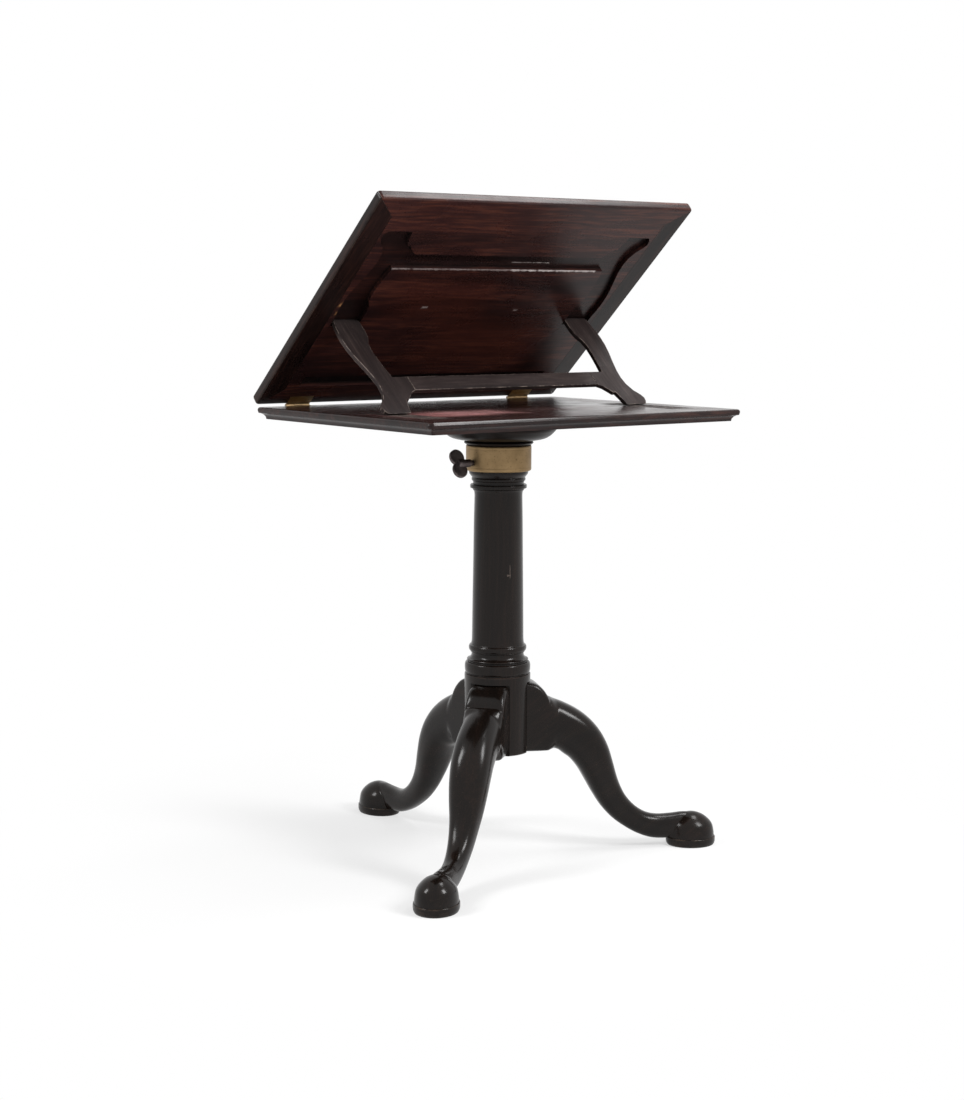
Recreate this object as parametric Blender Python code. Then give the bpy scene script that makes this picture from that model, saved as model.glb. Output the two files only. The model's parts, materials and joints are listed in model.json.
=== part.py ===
"""Tilting reading table: a mahogany tripod with a telescopic column, a turning bed and a hinged, propped leaf.

Metres, +Z up. The origin is on the floor, at the middle of the plan of the whole table at rest. The leaf is
hinged along the +Y edge of the bed, and its far edge rises over the -Y side, held by a folding prop that
stands on two notched racks in the bed.
"""

import math

import bmesh
import bpy
from mathutils import Matrix, Vector

# Fits

FIT_GAP = 0.0003
JOINT_HALF_GAP = 0.00015
LEAF_CLOSED_GAP = 0.0006
PROP_CLEARANCE = 0.0012
OVERRUN = 0.004

# Tripod and column

# Each leg's direction, from -Y towards +X.
LEG_DIRECTIONS = (math.radians(-53.6), math.radians(62.8), math.radians(181.0))
LEG_WIDTH = 0.064
LEG_HEAD_LENGTH = 0.1145
FOOT_REACH = 0.3267
FOOT_HALF_WIDTH = 0.0345
FOOT_HALF_LENGTH = 0.0410
FOOT_HEIGHT = 0.0545
BLOCK_RADIUS = 0.053
BLOCK_BOTTOM = 0.170
BLOCK_HEIGHT = 0.127
BLOCK_EASING = 0.0025
BLOCK_FLAT_DEPTH = 0.01075
SHAFT_LENGTH = 0.3255
NECK_RADIUS = 0.0470
TENON_RADIUS = 0.0405
DOVETAIL_WIDTH = 0.026
DOVETAIL_NECK = 0.017
DOVETAIL_DEPTH = 0.012
DOVETAIL_LENGTH = 0.092
PLUG_STEM_RADIUS = 0.0125
PLUG_STEM_LENGTH = 0.026
PLUG_RADIUS = 0.0140
PLUG_DROP = 0.0120

# Iron plate under the column

PLATE_THICKNESS = 0.0018
PLATE_HUB_RADIUS = 0.028
PLATE_ARM_WIDTH = 0.016
PLATE_ARM_REACH = 0.064
PLATE_SCREW_RADIUS = 0.0016
PLATE_SCREW_LENGTH = 0.014
PLATE_SCREW_REACH = 0.0565
PLATE_SCREW_HEAD_RADIUS = 0.0036
PLATE_SCREW_HEAD_HEIGHT = 0.0016

# Collar and clamp

COLLAR_RADIUS = 0.052
COLLAR_HEIGHT = 0.0415
COLLAR_LID = 0.009
COLLAR_EASING = 0.0018
CLAMP_RISE = 0.0145
SHANK_RADIUS = 0.0040
SHANK_CLEARANCE = 0.0004
HUB_RADIUS = 0.0062
HUB_START = 0.0565
WING_REACH = 0.080
WING_LOBE_RADIUS = 0.0130
WING_LOBE_OFFSET = 0.0104
WING_THICKNESS = 0.0056
WING_TURN = math.radians(25)
SHOE_RADIUS = 0.0038
SHOE_LENGTH = 0.0052

# Post and boss

POST_RADIUS = 0.016
POST_LENGTH = 0.2856
POST_SHOWING = 0.0069
POST_BORE_SPARE = 0.013
SWIVEL_PIN_RADIUS = 0.006
SWIVEL_PIN_IN_POST = 0.034
SWIVEL_HEAD_RADIUS = 0.012
SWIVEL_HEAD_THICKNESS = 0.005
SWIVEL_END_PLAY = 0.0012
BOSS_RADIUS = 0.092
BOSS_FLAT_RADIUS = 0.053
BOSS_HEIGHT = 0.0315
BOSS_RING_RADIUS = 0.0550
BOSS_RING_NECK = 0.0515
BOSS_SCREW_COUNT = 4
BOSS_SCREW_REACH = 0.040
BOSS_SCREW_RADIUS = 0.0022
BOSS_SCREW_HEAD_RADIUS = 0.0043
BOSS_SCREW_HEAD_HEIGHT = 0.0030
BOSS_SCREW_SUNK = 0.012
BOSS_SCREW_BITE = 0.011

# Bed and racks

BED_LENGTH = 0.610
BED_DEPTH = 0.470
BED_THICKNESS = 0.0188
BED_CORNER_RADIUS = 0.008
BED_NOSING = 0.0090
BED_LIP = 0.0015
BED_COVE_DEPTH = 0.0100
RACK_WIDTH = 0.049
RACK_INSET = 0.0670
RACK_DEPTH = 0.0065
RACK_SINK = 0.0001
RACK_NOTCH_PITCH = 0.0140
RACK_NOTCH_WIDTH = 0.0050
RACK_NOTCH_DEPTH = 0.0030
RACK_MARGIN = 0.010

# Hinges

HINGE_WIDTH = 0.044
HINGE_INSET = 0.0795
HINGE_DEPTH = 0.022
HINGE_PLATE = 0.0018
KNUCKLE_RADIUS = 0.0027
KNUCKLE_GAP = 0.0004
HINGE_PIN_RADIUS = 0.0011
HINGE_SCREW_SPACING = 0.026
HINGE_SCREW_BACK = 0.012
HINGE_SCREW_HEAD_RADIUS = 0.0026
HINGE_SCREW_RIM = 0.0003
HINGE_SCREW_RADIUS = 0.0012
HINGE_SCREW_LENGTH = 0.011

# Leaf and ledge

LEAF_TILT = math.radians(41.6)
STEEPEST_TILT = math.radians(52.0)
LEAF_THICKNESS = 0.0165
LEAF_CORNER_RADIUS = 0.006
LEAF_EDGE_ROUND = 0.0040
CLAMP_WIDTH = 0.038
LEDGE_FRONT = 0.071
LEDGE_WIDTH = 0.024
LEDGE_INSET = 0.0850
LEDGE_FLANGE = 0.024
LEDGE_FLANGE_THICKNESS = 0.0030
LEDGE_SHOULDER = 0.0045
LEDGE_RISE = 0.0082
LEDGE_EASING = 0.0012
STRUT_PIN_RADIUS = 0.00125
STRUT_PIN_BITE = 0.007

# Prop

PROP_LENGTH = 0.1990
PROP_THICKNESS = 0.0070
PROP_INSET = 0.0435
STRUT_FOOT_WIDTH = 0.0390
CROSSBAR_TOP = 0.1270
CROSSBAR_WIDTH = 0.0290
CROSSBAR_SETBACK = 0.0795
TENON_LENGTH = 0.020
TENON_THICKNESS = 0.0024
TENON_MARGIN = 0.0060
FOOT_EDGE_RADIUS = 0.0010

# Shapes as shares

# The column between its block and its shoulder: shares of BLOCK_RADIUS and of SHAFT_LENGTH.
COLUMN_TURNING_SHARES = (
    (0.890, 0.992), (0.872, 0.985), (0.815, 0.973), (0.800, 0.964), (0.778, 0.951), (0.762, 0.937),
    (0.845, 0.934), (0.852, 0.925), (0.845, 0.917), (0.765, 0.915), (0.757, 0.905), (0.722, 0.888),
    (0.722, 0.860), (0.747, 0.600), (0.770, 0.330), (0.781, 0.180), (0.797, 0.149), (0.846, 0.139),
    (0.868, 0.133), (0.872, 0.126), (0.866, 0.119), (0.822, 0.111), (0.793, 0.102), (0.796, 0.092),
    (0.824, 0.082), (0.925, 0.0715), (0.922, 0.068), (0.893, 0.062), (0.950, 0.056), (0.985, 0.051),
    (0.992, 0.042), (0.992, 0.025), (0.980, 0.010), (0.955, 0.003),
)
# The plug under the column: shares of PLUG_RADIUS and of PLUG_DROP.
PLUG_TURNING_SHARES = ((1.00, 0.00), (1.00, 0.25), (0.86, 0.62), (0.50, 0.94), (0.00, 1.00))
# Each station of a leg holds its upper edge, its lower edge and its width. The edges go out by shares of the
# way from the column to the foot's centre. They go up by shares of the leg's head height and of BLOCK_BOTTOM.
LEG_STATION_SHARES = (
    (0.000, 1.000, 0.000, 1.000, 1.00), (0.059, 0.984, 0.050, 1.000, 1.00),
    (0.105, 0.953, 0.091, 1.000, 1.00), (0.134, 0.909, 0.121, 1.002, 1.00),
    (0.144, 0.885, 0.140, 1.003, 1.00), (0.176, 0.879, 0.168, 1.004, 1.00),
    (0.240, 0.855, 0.199, 0.990, 1.00), (0.318, 0.815, 0.233, 0.947, 1.00),
    (0.388, 0.761, 0.272, 0.897, 1.00), (0.448, 0.691, 0.318, 0.803, 0.99),
    (0.493, 0.606, 0.360, 0.685, 0.94), (0.524, 0.510, 0.406, 0.550, 0.845),
    (0.556, 0.404, 0.458, 0.417, 0.713), (0.599, 0.313, 0.523, 0.298, 0.62),
    (0.658, 0.244, 0.598, 0.203, 0.55), (0.725, 0.200, 0.679, 0.126, 0.507),
    (0.795, 0.183, 0.768, 0.077, 0.49), (0.877, 0.184, 0.877, 0.068, 0.49),
    (0.971, 0.188, 0.971, 0.068, 0.387),
)
LEG_SECTION_POINTS = 16
LEG_ROUNDNESS_SHARE = 0.52
# The turned foot: shares of FOOT_HALF_WIDTH and of FOOT_HEIGHT.
FOOT_TURNING_SHARES = (
    (0.00, 1.000), (0.14, 0.990), (0.30, 0.955), (0.50, 0.885), (0.67, 0.790), (0.80, 0.690), (0.885, 0.580),
    (0.930, 0.420), (0.965, 0.240), (0.990, 0.215), (1.000, 0.110), (0.900, 0.000), (0.000, 0.000),
)
# The boss's side: shares of the way from its flat out to its rim, and of BOSS_HEIGHT.
BOSS_TURNING_SHARES = (
    (1.00, 0.66), (0.975, 0.54), (0.89, 0.42), (0.80, 0.31), (0.68, 0.20), (0.50, 0.10), (0.18, 0.02),
)
# Where the slope behind a strut's head starts, as a share of the head's reach about its pin.
PROP_SLOPE_START_SHARE = 0.9
# Where a hinge's three knuckles meet: shares of HINGE_WIDTH.
KNUCKLE_SHARES = (0.34, 0.66)
# One strut from its pin to its foot: how far inside PROP_HALF_SPAN, as shares of STRUT_FOOT_WIDTH, and how far
# from the pin, as shares of PROP_LENGTH.
STRUT_OUTER_SHARES = (
    (0.218, 0.000), (0.136, 0.065), (0.085, 0.151), (0.077, 0.226), (0.108, 0.317), (0.205, 0.417),
    (0.346, 0.523), (0.469, 0.628), (0.513, 0.714), (0.479, 0.789), (0.321, 0.864), (0.090, 0.917),
    (0.000, 0.955), (0.038, 0.995), (0.154, 1.028),
)
STRUT_INNER_SHARES = (
    (1.397, 0.000), (1.410, 0.126), (1.359, 0.201), (1.205, 0.261), (1.154, 0.332), (1.179, 0.427),
    (1.244, 0.533), (1.321, 0.623),
)
STRUT_BRACKET_SHARES = (
    (1.808, 0.809), (1.603, 0.854), (1.487, 0.882), (1.359, 0.879), (1.282, 0.930), (1.231, 0.980),
    (1.192, 1.028),
)

# Levels that follow from the sizes

BLOCK_FLAT = BLOCK_RADIUS - BLOCK_FLAT_DEPTH
LEG_HEAD_HEIGHT = BLOCK_BOTTOM + LEG_HEAD_LENGTH
DOVETAIL_TOP = BLOCK_BOTTOM + DOVETAIL_LENGTH
BLOCK_TOP = BLOCK_BOTTOM + BLOCK_HEIGHT
COLUMN_SHOULDER = BLOCK_TOP + SHAFT_LENGTH
COLLAR_TOP = COLUMN_SHOULDER + COLLAR_HEIGHT
CLAMP_HEIGHT = COLUMN_SHOULDER + CLAMP_RISE
POST_TOP = COLLAR_TOP + POST_SHOWING - FIT_GAP
POST_BOTTOM = POST_TOP - POST_LENGTH
BORE_BOTTOM = POST_BOTTOM - POST_BORE_SPARE
BOSS_BOTTOM = COLLAR_TOP + POST_SHOWING
BOSS_RING_BOTTOM = COLLAR_TOP + FIT_GAP
BOSS_TOP = BOSS_BOTTOM + BOSS_HEIGHT
BED_BOTTOM = BOSS_TOP + FIT_GAP
BED_TOP = BED_BOTTOM + BED_THICKNESS
RACK_CENTRE = BED_LENGTH / 2 - RACK_INSET
HINGE_CENTRE = BED_LENGTH / 2 - HINGE_INSET
LEDGE_LENGTH = BED_LENGTH - 2 * LEDGE_INSET
PROP_HALF_SPAN = BED_LENGTH / 2 - PROP_INSET
CROSSBAR_HALF_LENGTH = PROP_HALF_SPAN - CROSSBAR_SETBACK
LEAF_UNDERSIDE = LEAF_CLOSED_GAP / 2
HINGE_AXIS_Y = BED_DEPTH / 2 + KNUCKLE_RADIUS + FIT_GAP
HINGE_AXIS_Z = BED_TOP + LEAF_UNDERSIDE
PIVOT_HEIGHT = LEAF_UNDERSIDE + FIT_GAP + PROP_THICKNESS / 2
FOOT_EDGE_OFFSET = FOOT_EDGE_RADIUS - PROP_THICKNESS / 2
FOOT_TOE = PROP_THICKNESS / math.tan(STEEPEST_TILT)

# Base colour, roughness and metallic of each finish

POLISHED_MAHOGANY = ("polished_mahogany", (0.060, 0.024, 0.012), 0.22, 0.0)
LEAF_MAHOGANY = ("leaf_mahogany", (0.190, 0.085, 0.055), 0.42, 0.0)
DRY_MAHOGANY = ("dry_mahogany", (0.165, 0.115, 0.095), 0.62, 0.0)
AGED_BRASS = ("aged_brass", (0.300, 0.230, 0.110), 0.38, 1.0)
DARK_IRON = ("dark_iron", (0.045, 0.042, 0.040), 0.55, 1.0)
STEEL = ("steel", (0.420, 0.410, 0.400), 0.35, 1.0)


# Objects

def start_empty():
    """Removes the objects that the scene starts with."""
    for obj in list(bpy.data.objects):
        bpy.data.objects.remove(obj, do_unlink=True)


def material(finish):
    """Returns the Principled material of one named finish, made once."""
    name, colour, roughness, metallic = finish
    found = bpy.data.materials.get(name)
    if found:
        return found
    made = bpy.data.materials.new(name)
    made.use_nodes = True
    shader = made.node_tree.nodes["Principled BSDF"]
    shader.inputs["Base Color"].default_value = (*colour, 1.0)
    shader.inputs["Roughness"].default_value = roughness
    shader.inputs["Metallic"].default_value = metallic
    return made


def frame(name, parent=None, location=(0, 0, 0), turn_x=0.0, turn_z=0.0):
    """Adds an empty that carries one body or one group of pieces."""
    empty = bpy.data.objects.new(name, None)
    bpy.context.collection.objects.link(empty)
    empty.parent = parent
    empty.location = location
    empty.rotation_euler = (turn_x, 0.0, turn_z)
    return empty


def piece(name, bm, finish, parent):
    """Turns a bmesh into a named object on its frame. Without a finish it is a hidden cutter."""
    mesh = bpy.data.meshes.new(name)
    bm.to_mesh(mesh)
    bm.free()
    obj = bpy.data.objects.new(name, mesh)
    bpy.context.collection.objects.link(obj)
    obj.parent = parent
    if finish is None:
        obj.hide_render = True
        obj.display_type = "WIRE"
    else:
        mesh.materials.append(material(finish))
    return obj


def cutter(name, bm, parent):
    """Adds a hidden shape that only cuts or joins others."""
    return piece("cut_" + name, bm, None, parent)


def combine(target, tool, operation="DIFFERENCE"):
    """Cuts the tool from the target, or joins them."""
    boolean = target.modifiers.new(operation.lower(), "BOOLEAN")
    boolean.operation = operation
    boolean.solver = "EXACT"
    boolean.object = tool


def across(way, near, far):
    """The low and high end of a span that runs from near to far on one side of the middle."""
    return sorted((way * near, way * far))


# Shapes

def box_mesh(low, high):
    """A box between two corners."""
    bm = bmesh.new()
    size = Vector(high) - Vector(low)
    centre = (Vector(high) + Vector(low)) / 2
    bmesh.ops.create_cube(bm, size=1.0, matrix=Matrix.Translation(centre) @ Matrix.Diagonal((*size, 1.0)))
    return bm


def rod_mesh(radius, low, high, direction="Z", centre=(0, 0, 0), sides=16):
    """A cylinder from low to high along one axis, its axis through centre."""
    bm = bmesh.new()
    bmesh.ops.create_cone(bm, cap_ends=True, segments=sides, radius1=radius, radius2=radius, depth=high - low)
    bmesh.ops.translate(bm, verts=bm.verts, vec=(0, 0, (low + high) / 2))
    if direction == "X":
        bm.transform(Matrix.Rotation(math.pi / 2, 4, "Y"))
    bmesh.ops.translate(bm, verts=bm.verts, vec=centre)
    return bm


def prism_mesh(outline, low, high, direction="Z"):
    """Pushes a flat outline from low to high: (y, z) points along X, (x, z) along Y or (x, y) along Z."""
    place = {
        "X": lambda a, b, along: (along, a, b),
        "Y": lambda a, b, along: (a, along, b),
        "Z": lambda a, b, along: (a, b, along),
    }[direction]
    return stacked_mesh([[place(a, b, along) for a, b in outline] for along in (low, high)])


def stacked_mesh(rings):
    """Joins closed rings of equal length into a capped skin."""
    bm = bmesh.new()
    rows = [[bm.verts.new(point) for point in ring] for ring in rings]
    for lower, upper in zip(rows, rows[1:]):
        for i in range(len(lower)):
            j = (i + 1) % len(lower)
            bm.faces.new((lower[i], lower[j], upper[j], upper[i]))
    bm.faces.new(rows[0])
    bm.faces.new(rows[-1])
    bmesh.ops.recalc_face_normals(bm, faces=bm.faces)
    return bm


def turned(name, profile, finish, parent, closed=False, steps=40):
    """Turns a profile of (radius, height) points about the frame's Z, its outer side from top to bottom."""
    bm = bmesh.new()
    verts = [bm.verts.new((radius, 0.0, height)) for radius, height in profile]
    for a, b in zip(verts, verts[1:]):
        bm.edges.new((a, b))
    if closed:
        bm.edges.new((verts[-1], verts[0]))
    obj = piece(name, bm, finish, parent)
    screw = obj.modifiers.new("turning", "SCREW")
    screw.steps = steps
    screw.render_steps = steps
    screw.use_merge_vertices = True
    screw.merge_threshold = 0.00001
    return obj


def shaded(shares, radius, height, base=0.0):
    """Turns pairs of shares into (radius, height) points over a base."""
    return [(out * radius, base + up * height) for out, up in shares]


def rounded_rectangle(half_length, half_depth, radius, height, corner_steps=5):
    """The plan of a rectangle with rounded corners, at one height."""
    ring = []
    for quarter, (sx, sy) in enumerate(((1, 1), (-1, 1), (-1, -1), (1, -1))):
        for step in range(corner_steps + 1):
            angle = (quarter + step / corner_steps) * math.pi / 2
            x = sx * (half_length - radius) + radius * math.cos(angle)
            y = sy * (half_depth - radius) + radius * math.sin(angle)
            ring.append((x, y, height))
    return ring


def slab_mesh(length, depth, corner_radius, edge, centre_y=0.0):
    """A board whose edge follows (inset, height) points, from the lower face to the upper one."""
    rings = []
    for inset, height in edge:
        radius = max(corner_radius - inset, corner_radius / 3)
        ring = rounded_rectangle(length / 2 - inset, depth / 2 - inset, radius, height)
        rings.append([(x, y + centre_y, z) for x, y, z in ring])
    return stacked_mesh(rings)


# The plan of the table

def foot_extent(angle, direction):
    """How far one oval foot reaches from the column's axis along a plan direction."""
    along = Vector((math.sin(angle), -math.cos(angle)))
    sideways = Vector((math.cos(angle), math.sin(angle)))
    way = Vector(direction)
    half = math.hypot(FOOT_HALF_LENGTH * along.dot(way), FOOT_HALF_WIDTH * sideways.dot(way))
    return FOOT_REACH * along.dot(way) + half


def column_place():
    """The column's axis in plan, which puts the middle of the whole table on the origin."""
    right, left, back, front = (
        max([bed_half] + [foot_extent(angle, direction) for angle in LEG_DIRECTIONS])
        for direction, bed_half in (((1, 0), BED_LENGTH / 2), ((-1, 0), BED_LENGTH / 2),
                                    ((0, 1), BED_DEPTH / 2), ((0, -1), BED_DEPTH / 2))
    )
    return ((left - right) / 2, (front - back) / 2, 0.0)


# Column

def column_profile():
    """The column's outline: up its bore, over the tenon, down its outside and in under its foot."""
    tenon_top = COLLAR_TOP - COLLAR_LID - FIT_GAP
    post_bore = POST_RADIUS + FIT_GAP
    stem_bore = PLUG_STEM_RADIUS + FIT_GAP
    stem_top = BLOCK_BOTTOM + PLUG_STEM_LENGTH + FIT_GAP
    return [
        (0.0, BORE_BOTTOM), (post_bore, BORE_BOTTOM), (post_bore, tenon_top), (TENON_RADIUS, tenon_top),
        (TENON_RADIUS, COLUMN_SHOULDER), (NECK_RADIUS, COLUMN_SHOULDER),
        *shaded(COLUMN_TURNING_SHARES, BLOCK_RADIUS, SHAFT_LENGTH, BLOCK_TOP),
        (BLOCK_RADIUS - BLOCK_EASING, BLOCK_TOP), (BLOCK_RADIUS, BLOCK_TOP - BLOCK_EASING),
        (BLOCK_RADIUS, BLOCK_BOTTOM + BLOCK_EASING), (BLOCK_RADIUS - BLOCK_EASING, BLOCK_BOTTOM),
        (stem_bore, BLOCK_BOTTOM), (stem_bore, stem_top), (0.0, stem_top),
    ]


def dovetail_mesh(gap, low, high):
    """The dovetail on a leg's inner end, or with a gap the housing that it slides up into."""
    narrow = DOVETAIL_NECK / 2 + gap
    wide = DOVETAIL_WIDTH / 2 + gap
    inner = BLOCK_FLAT - DOVETAIL_DEPTH - gap
    outer = BLOCK_FLAT + OVERRUN
    return prism_mesh([(inner, -wide), (outer, -narrow), (outer, narrow), (inner, wide)], low, high)


def screw_bore(tool_name, inner, outer, stand):
    """The thumbscrew's hole, from inner to outer along -X."""
    hole = rod_mesh(SHANK_RADIUS + SHANK_CLEARANCE, -outer, -inner, "X", (0, 0, CLAMP_HEIGHT))
    return cutter(tool_name, hole, stand)


def add_column(stand):
    """The turned column with its two bores, the three leg housings and the thumbscrew's hole."""
    column = turned("column", column_profile(), POLISHED_MAHOGANY, stand)
    for index, angle in enumerate(LEG_DIRECTIONS):
        side = frame(f"housing_{index + 1}", stand, turn_z=angle - math.pi / 2)
        half = LEG_WIDTH / 2 + FIT_GAP
        flat = box_mesh((BLOCK_FLAT - FIT_GAP, -half, BLOCK_BOTTOM - OVERRUN),
                        (BLOCK_RADIUS + OVERRUN, half, LEG_HEAD_HEIGHT + FIT_GAP))
        combine(column, cutter(f"flat_{index + 1}", flat, side))
        housing = dovetail_mesh(FIT_GAP, BLOCK_BOTTOM - OVERRUN, DOVETAIL_TOP + FIT_GAP)
        combine(column, cutter(f"housing_{index + 1}", housing, side))
    combine(column, screw_bore("column_screw_hole", POST_RADIUS / 2, BLOCK_RADIUS, stand))


def add_column_plug(stand):
    """The small turned pendant whose stem closes the foot of the column."""
    flange_top = BLOCK_BOTTOM - PLATE_THICKNESS - 2 * FIT_GAP
    stem_top = BLOCK_BOTTOM + PLUG_STEM_LENGTH
    profile = [(0.0, stem_top), (PLUG_STEM_RADIUS, stem_top), (PLUG_STEM_RADIUS, flange_top)]
    profile += shaded(PLUG_TURNING_SHARES, PLUG_RADIUS, -PLUG_DROP, flange_top)
    turned("column_plug", profile, POLISHED_MAHOGANY, stand, steps=24)


# Legs

def leg_section(station):
    """One ring of the leg: a rounded oblong between its upper and its lower edge."""
    upper_out, upper_up, lower_out, lower_up, width_share = station
    run = FOOT_REACH - BLOCK_FLAT
    upper = Vector((BLOCK_FLAT + upper_out * run, 0, upper_up * LEG_HEAD_HEIGHT))
    lower = Vector((BLOCK_FLAT + lower_out * run, 0, lower_up * BLOCK_BOTTOM))
    middle = (upper + lower) / 2
    half_height = (upper - lower) / 2
    half_width = LEG_WIDTH * width_share / 2
    ring = []
    for i in range(LEG_SECTION_POINTS):
        angle = 2 * math.pi * (i + 0.5) / LEG_SECTION_POINTS
        sideways = math.copysign(abs(math.sin(angle)) ** LEG_ROUNDNESS_SHARE, math.sin(angle))
        upward = math.copysign(abs(math.cos(angle)) ** LEG_ROUNDNESS_SHARE, math.cos(angle))
        ring.append(middle + half_height * upward + Vector((0, half_width * sideways, 0)))
    return ring


def add_leg(name, angle, stand):
    """One cabriole leg: the sawn and rounded limb, the turned foot and the dovetail."""
    side = frame(name + "_frame", stand, turn_z=angle - math.pi / 2)
    limb = stacked_mesh([leg_section(station) for station in LEG_STATION_SHARES])
    leg = piece(name, limb, POLISHED_MAHOGANY, side)
    foot_profile = shaded(FOOT_TURNING_SHARES, FOOT_HALF_WIDTH, FOOT_HEIGHT)
    foot = turned(f"cut_{name}_foot", foot_profile, None, side, steps=32)
    foot.location = (FOOT_REACH, 0, 0)
    foot.scale = (FOOT_HALF_LENGTH / FOOT_HALF_WIDTH, 1, 1)
    combine(leg, foot, "UNION")
    tail = dovetail_mesh(0.0, BLOCK_BOTTOM + FIT_GAP, DOVETAIL_TOP)
    combine(leg, cutter(name + "_tail", tail, side), "UNION")
    tip = BLOCK_BOTTOM + PLATE_SCREW_LENGTH + FIT_GAP
    hole = rod_mesh(PLATE_SCREW_RADIUS + FIT_GAP, BLOCK_BOTTOM - OVERRUN, tip, centre=(PLATE_SCREW_REACH, 0, 0),
                    sides=12)
    combine(leg, cutter(name + "_hole", hole, side))


# Iron plate

def add_tripod_plate(stand):
    """The three-armed iron plate that ties the legs to the column from below."""
    top = BLOCK_BOTTOM - FIT_GAP
    bottom = top - PLATE_THICKNESS
    plate = piece("tripod_plate", rod_mesh(PLATE_HUB_RADIUS, bottom, top, sides=30), DARK_IRON, stand)
    for index, angle in enumerate(LEG_DIRECTIONS):
        side = frame(f"plate_arm_{index + 1}", stand, turn_z=angle - math.pi / 2)
        arm = box_mesh((PLATE_HUB_RADIUS / 2, -PLATE_ARM_WIDTH / 2, bottom),
                       (PLATE_ARM_REACH, PLATE_ARM_WIDTH / 2, top))
        combine(plate, cutter(f"plate_arm_{index + 1}", arm, side), "UNION")
        hole = rod_mesh(PLATE_SCREW_RADIUS + FIT_GAP, bottom - OVERRUN, top + OVERRUN,
                        centre=(PLATE_SCREW_REACH, 0, 0), sides=12)
        combine(plate, cutter(f"plate_hole_{index + 1}", hole, side))
        add_plate_screw(index, side, bottom - FIT_GAP)
    stem = rod_mesh(PLUG_STEM_RADIUS + FIT_GAP, bottom - OVERRUN, top + OVERRUN, sides=24)
    combine(plate, cutter("plate_stem_hole", stem, stand))


def add_plate_screw(index, side, head_top):
    """A round-headed screw up through one arm of the plate into its leg."""
    head_bottom = head_top - PLATE_SCREW_HEAD_HEIGHT
    tip = BLOCK_BOTTOM + PLATE_SCREW_LENGTH
    profile = [
        (0.0, tip), (PLATE_SCREW_RADIUS, tip - PLATE_SCREW_RADIUS), (PLATE_SCREW_RADIUS, head_top),
        (PLATE_SCREW_HEAD_RADIUS, head_top), (PLATE_SCREW_HEAD_RADIUS / 2, head_bottom), (0.0, head_bottom),
    ]
    screw = turned(f"plate_screw_{index + 1}", profile, DARK_IRON, side, steps=12)
    screw.location = (PLATE_SCREW_REACH, 0, 0)


# Collar and clamp

def add_collar(stand):
    """The brass collar over the column's tenon, bored for the post and drilled for the thumbscrew."""
    bottom = COLUMN_SHOULDER + FIT_GAP
    post_bore = POST_RADIUS + FIT_GAP
    inside = TENON_RADIUS + FIT_GAP
    lid_bottom = COLLAR_TOP - COLLAR_LID
    foot_radius = (COLLAR_RADIUS + NECK_RADIUS) / 2
    profile = [
        (post_bore, COLLAR_TOP), (COLLAR_RADIUS - COLLAR_EASING, COLLAR_TOP),
        (COLLAR_RADIUS, COLLAR_TOP - COLLAR_EASING), (COLLAR_RADIUS, bottom + 3 * COLLAR_EASING),
        (foot_radius, bottom), (inside, bottom), (inside, lid_bottom), (post_bore, lid_bottom),
    ]
    collar = turned("collar", profile, AGED_BRASS, stand, closed=True)
    combine(collar, screw_bore("collar_screw_hole", POST_RADIUS * 2, COLLAR_RADIUS + OVERRUN, stand))


def add_clamp(stand):
    """The brass shoe that presses on the post, and the thumbscrew behind it."""
    clamp = frame("clamp", stand, location=(0, 0, CLAMP_HEIGHT))
    shoe_back = -(POST_RADIUS + FIT_GAP + SHOE_LENGTH)
    shoe = piece("clamp_shoe", rod_mesh(SHOE_RADIUS, shoe_back, -POST_RADIUS + FIT_GAP, "X"), AGED_BRASS, clamp)
    post_space = rod_mesh(POST_RADIUS + FIT_GAP, -SHOE_LENGTH, SHOE_LENGTH, sides=64)
    combine(shoe, cutter("shoe_hollow", post_space, clamp))
    turn = frame("thumbscrew_turn", clamp, turn_x=-WING_TURN)
    shank = rod_mesh(SHANK_RADIUS, -WING_REACH, shoe_back - FIT_GAP, "X")
    screw = piece("thumbscrew", shank, DARK_IRON, turn)
    hub = rod_mesh(HUB_RADIUS, -WING_REACH - FIT_GAP, -HUB_START, "X", sides=20)
    combine(screw, cutter("hub", hub, turn), "UNION")
    for name, way in (("upper", 1), ("lower", -1)):
        lobe = rod_mesh(WING_LOBE_RADIUS, -WING_THICKNESS / 2, WING_THICKNESS / 2, sides=24)
        lobe.transform(Matrix.Rotation(math.pi / 2, 4, "X"))
        bmesh.ops.translate(lobe, verts=lobe.verts, vec=(-WING_REACH, 0, way * WING_LOBE_OFFSET))
        combine(screw, cutter("lobe_" + name, lobe, turn), "UNION")


# Post, swivel and boss

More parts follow.
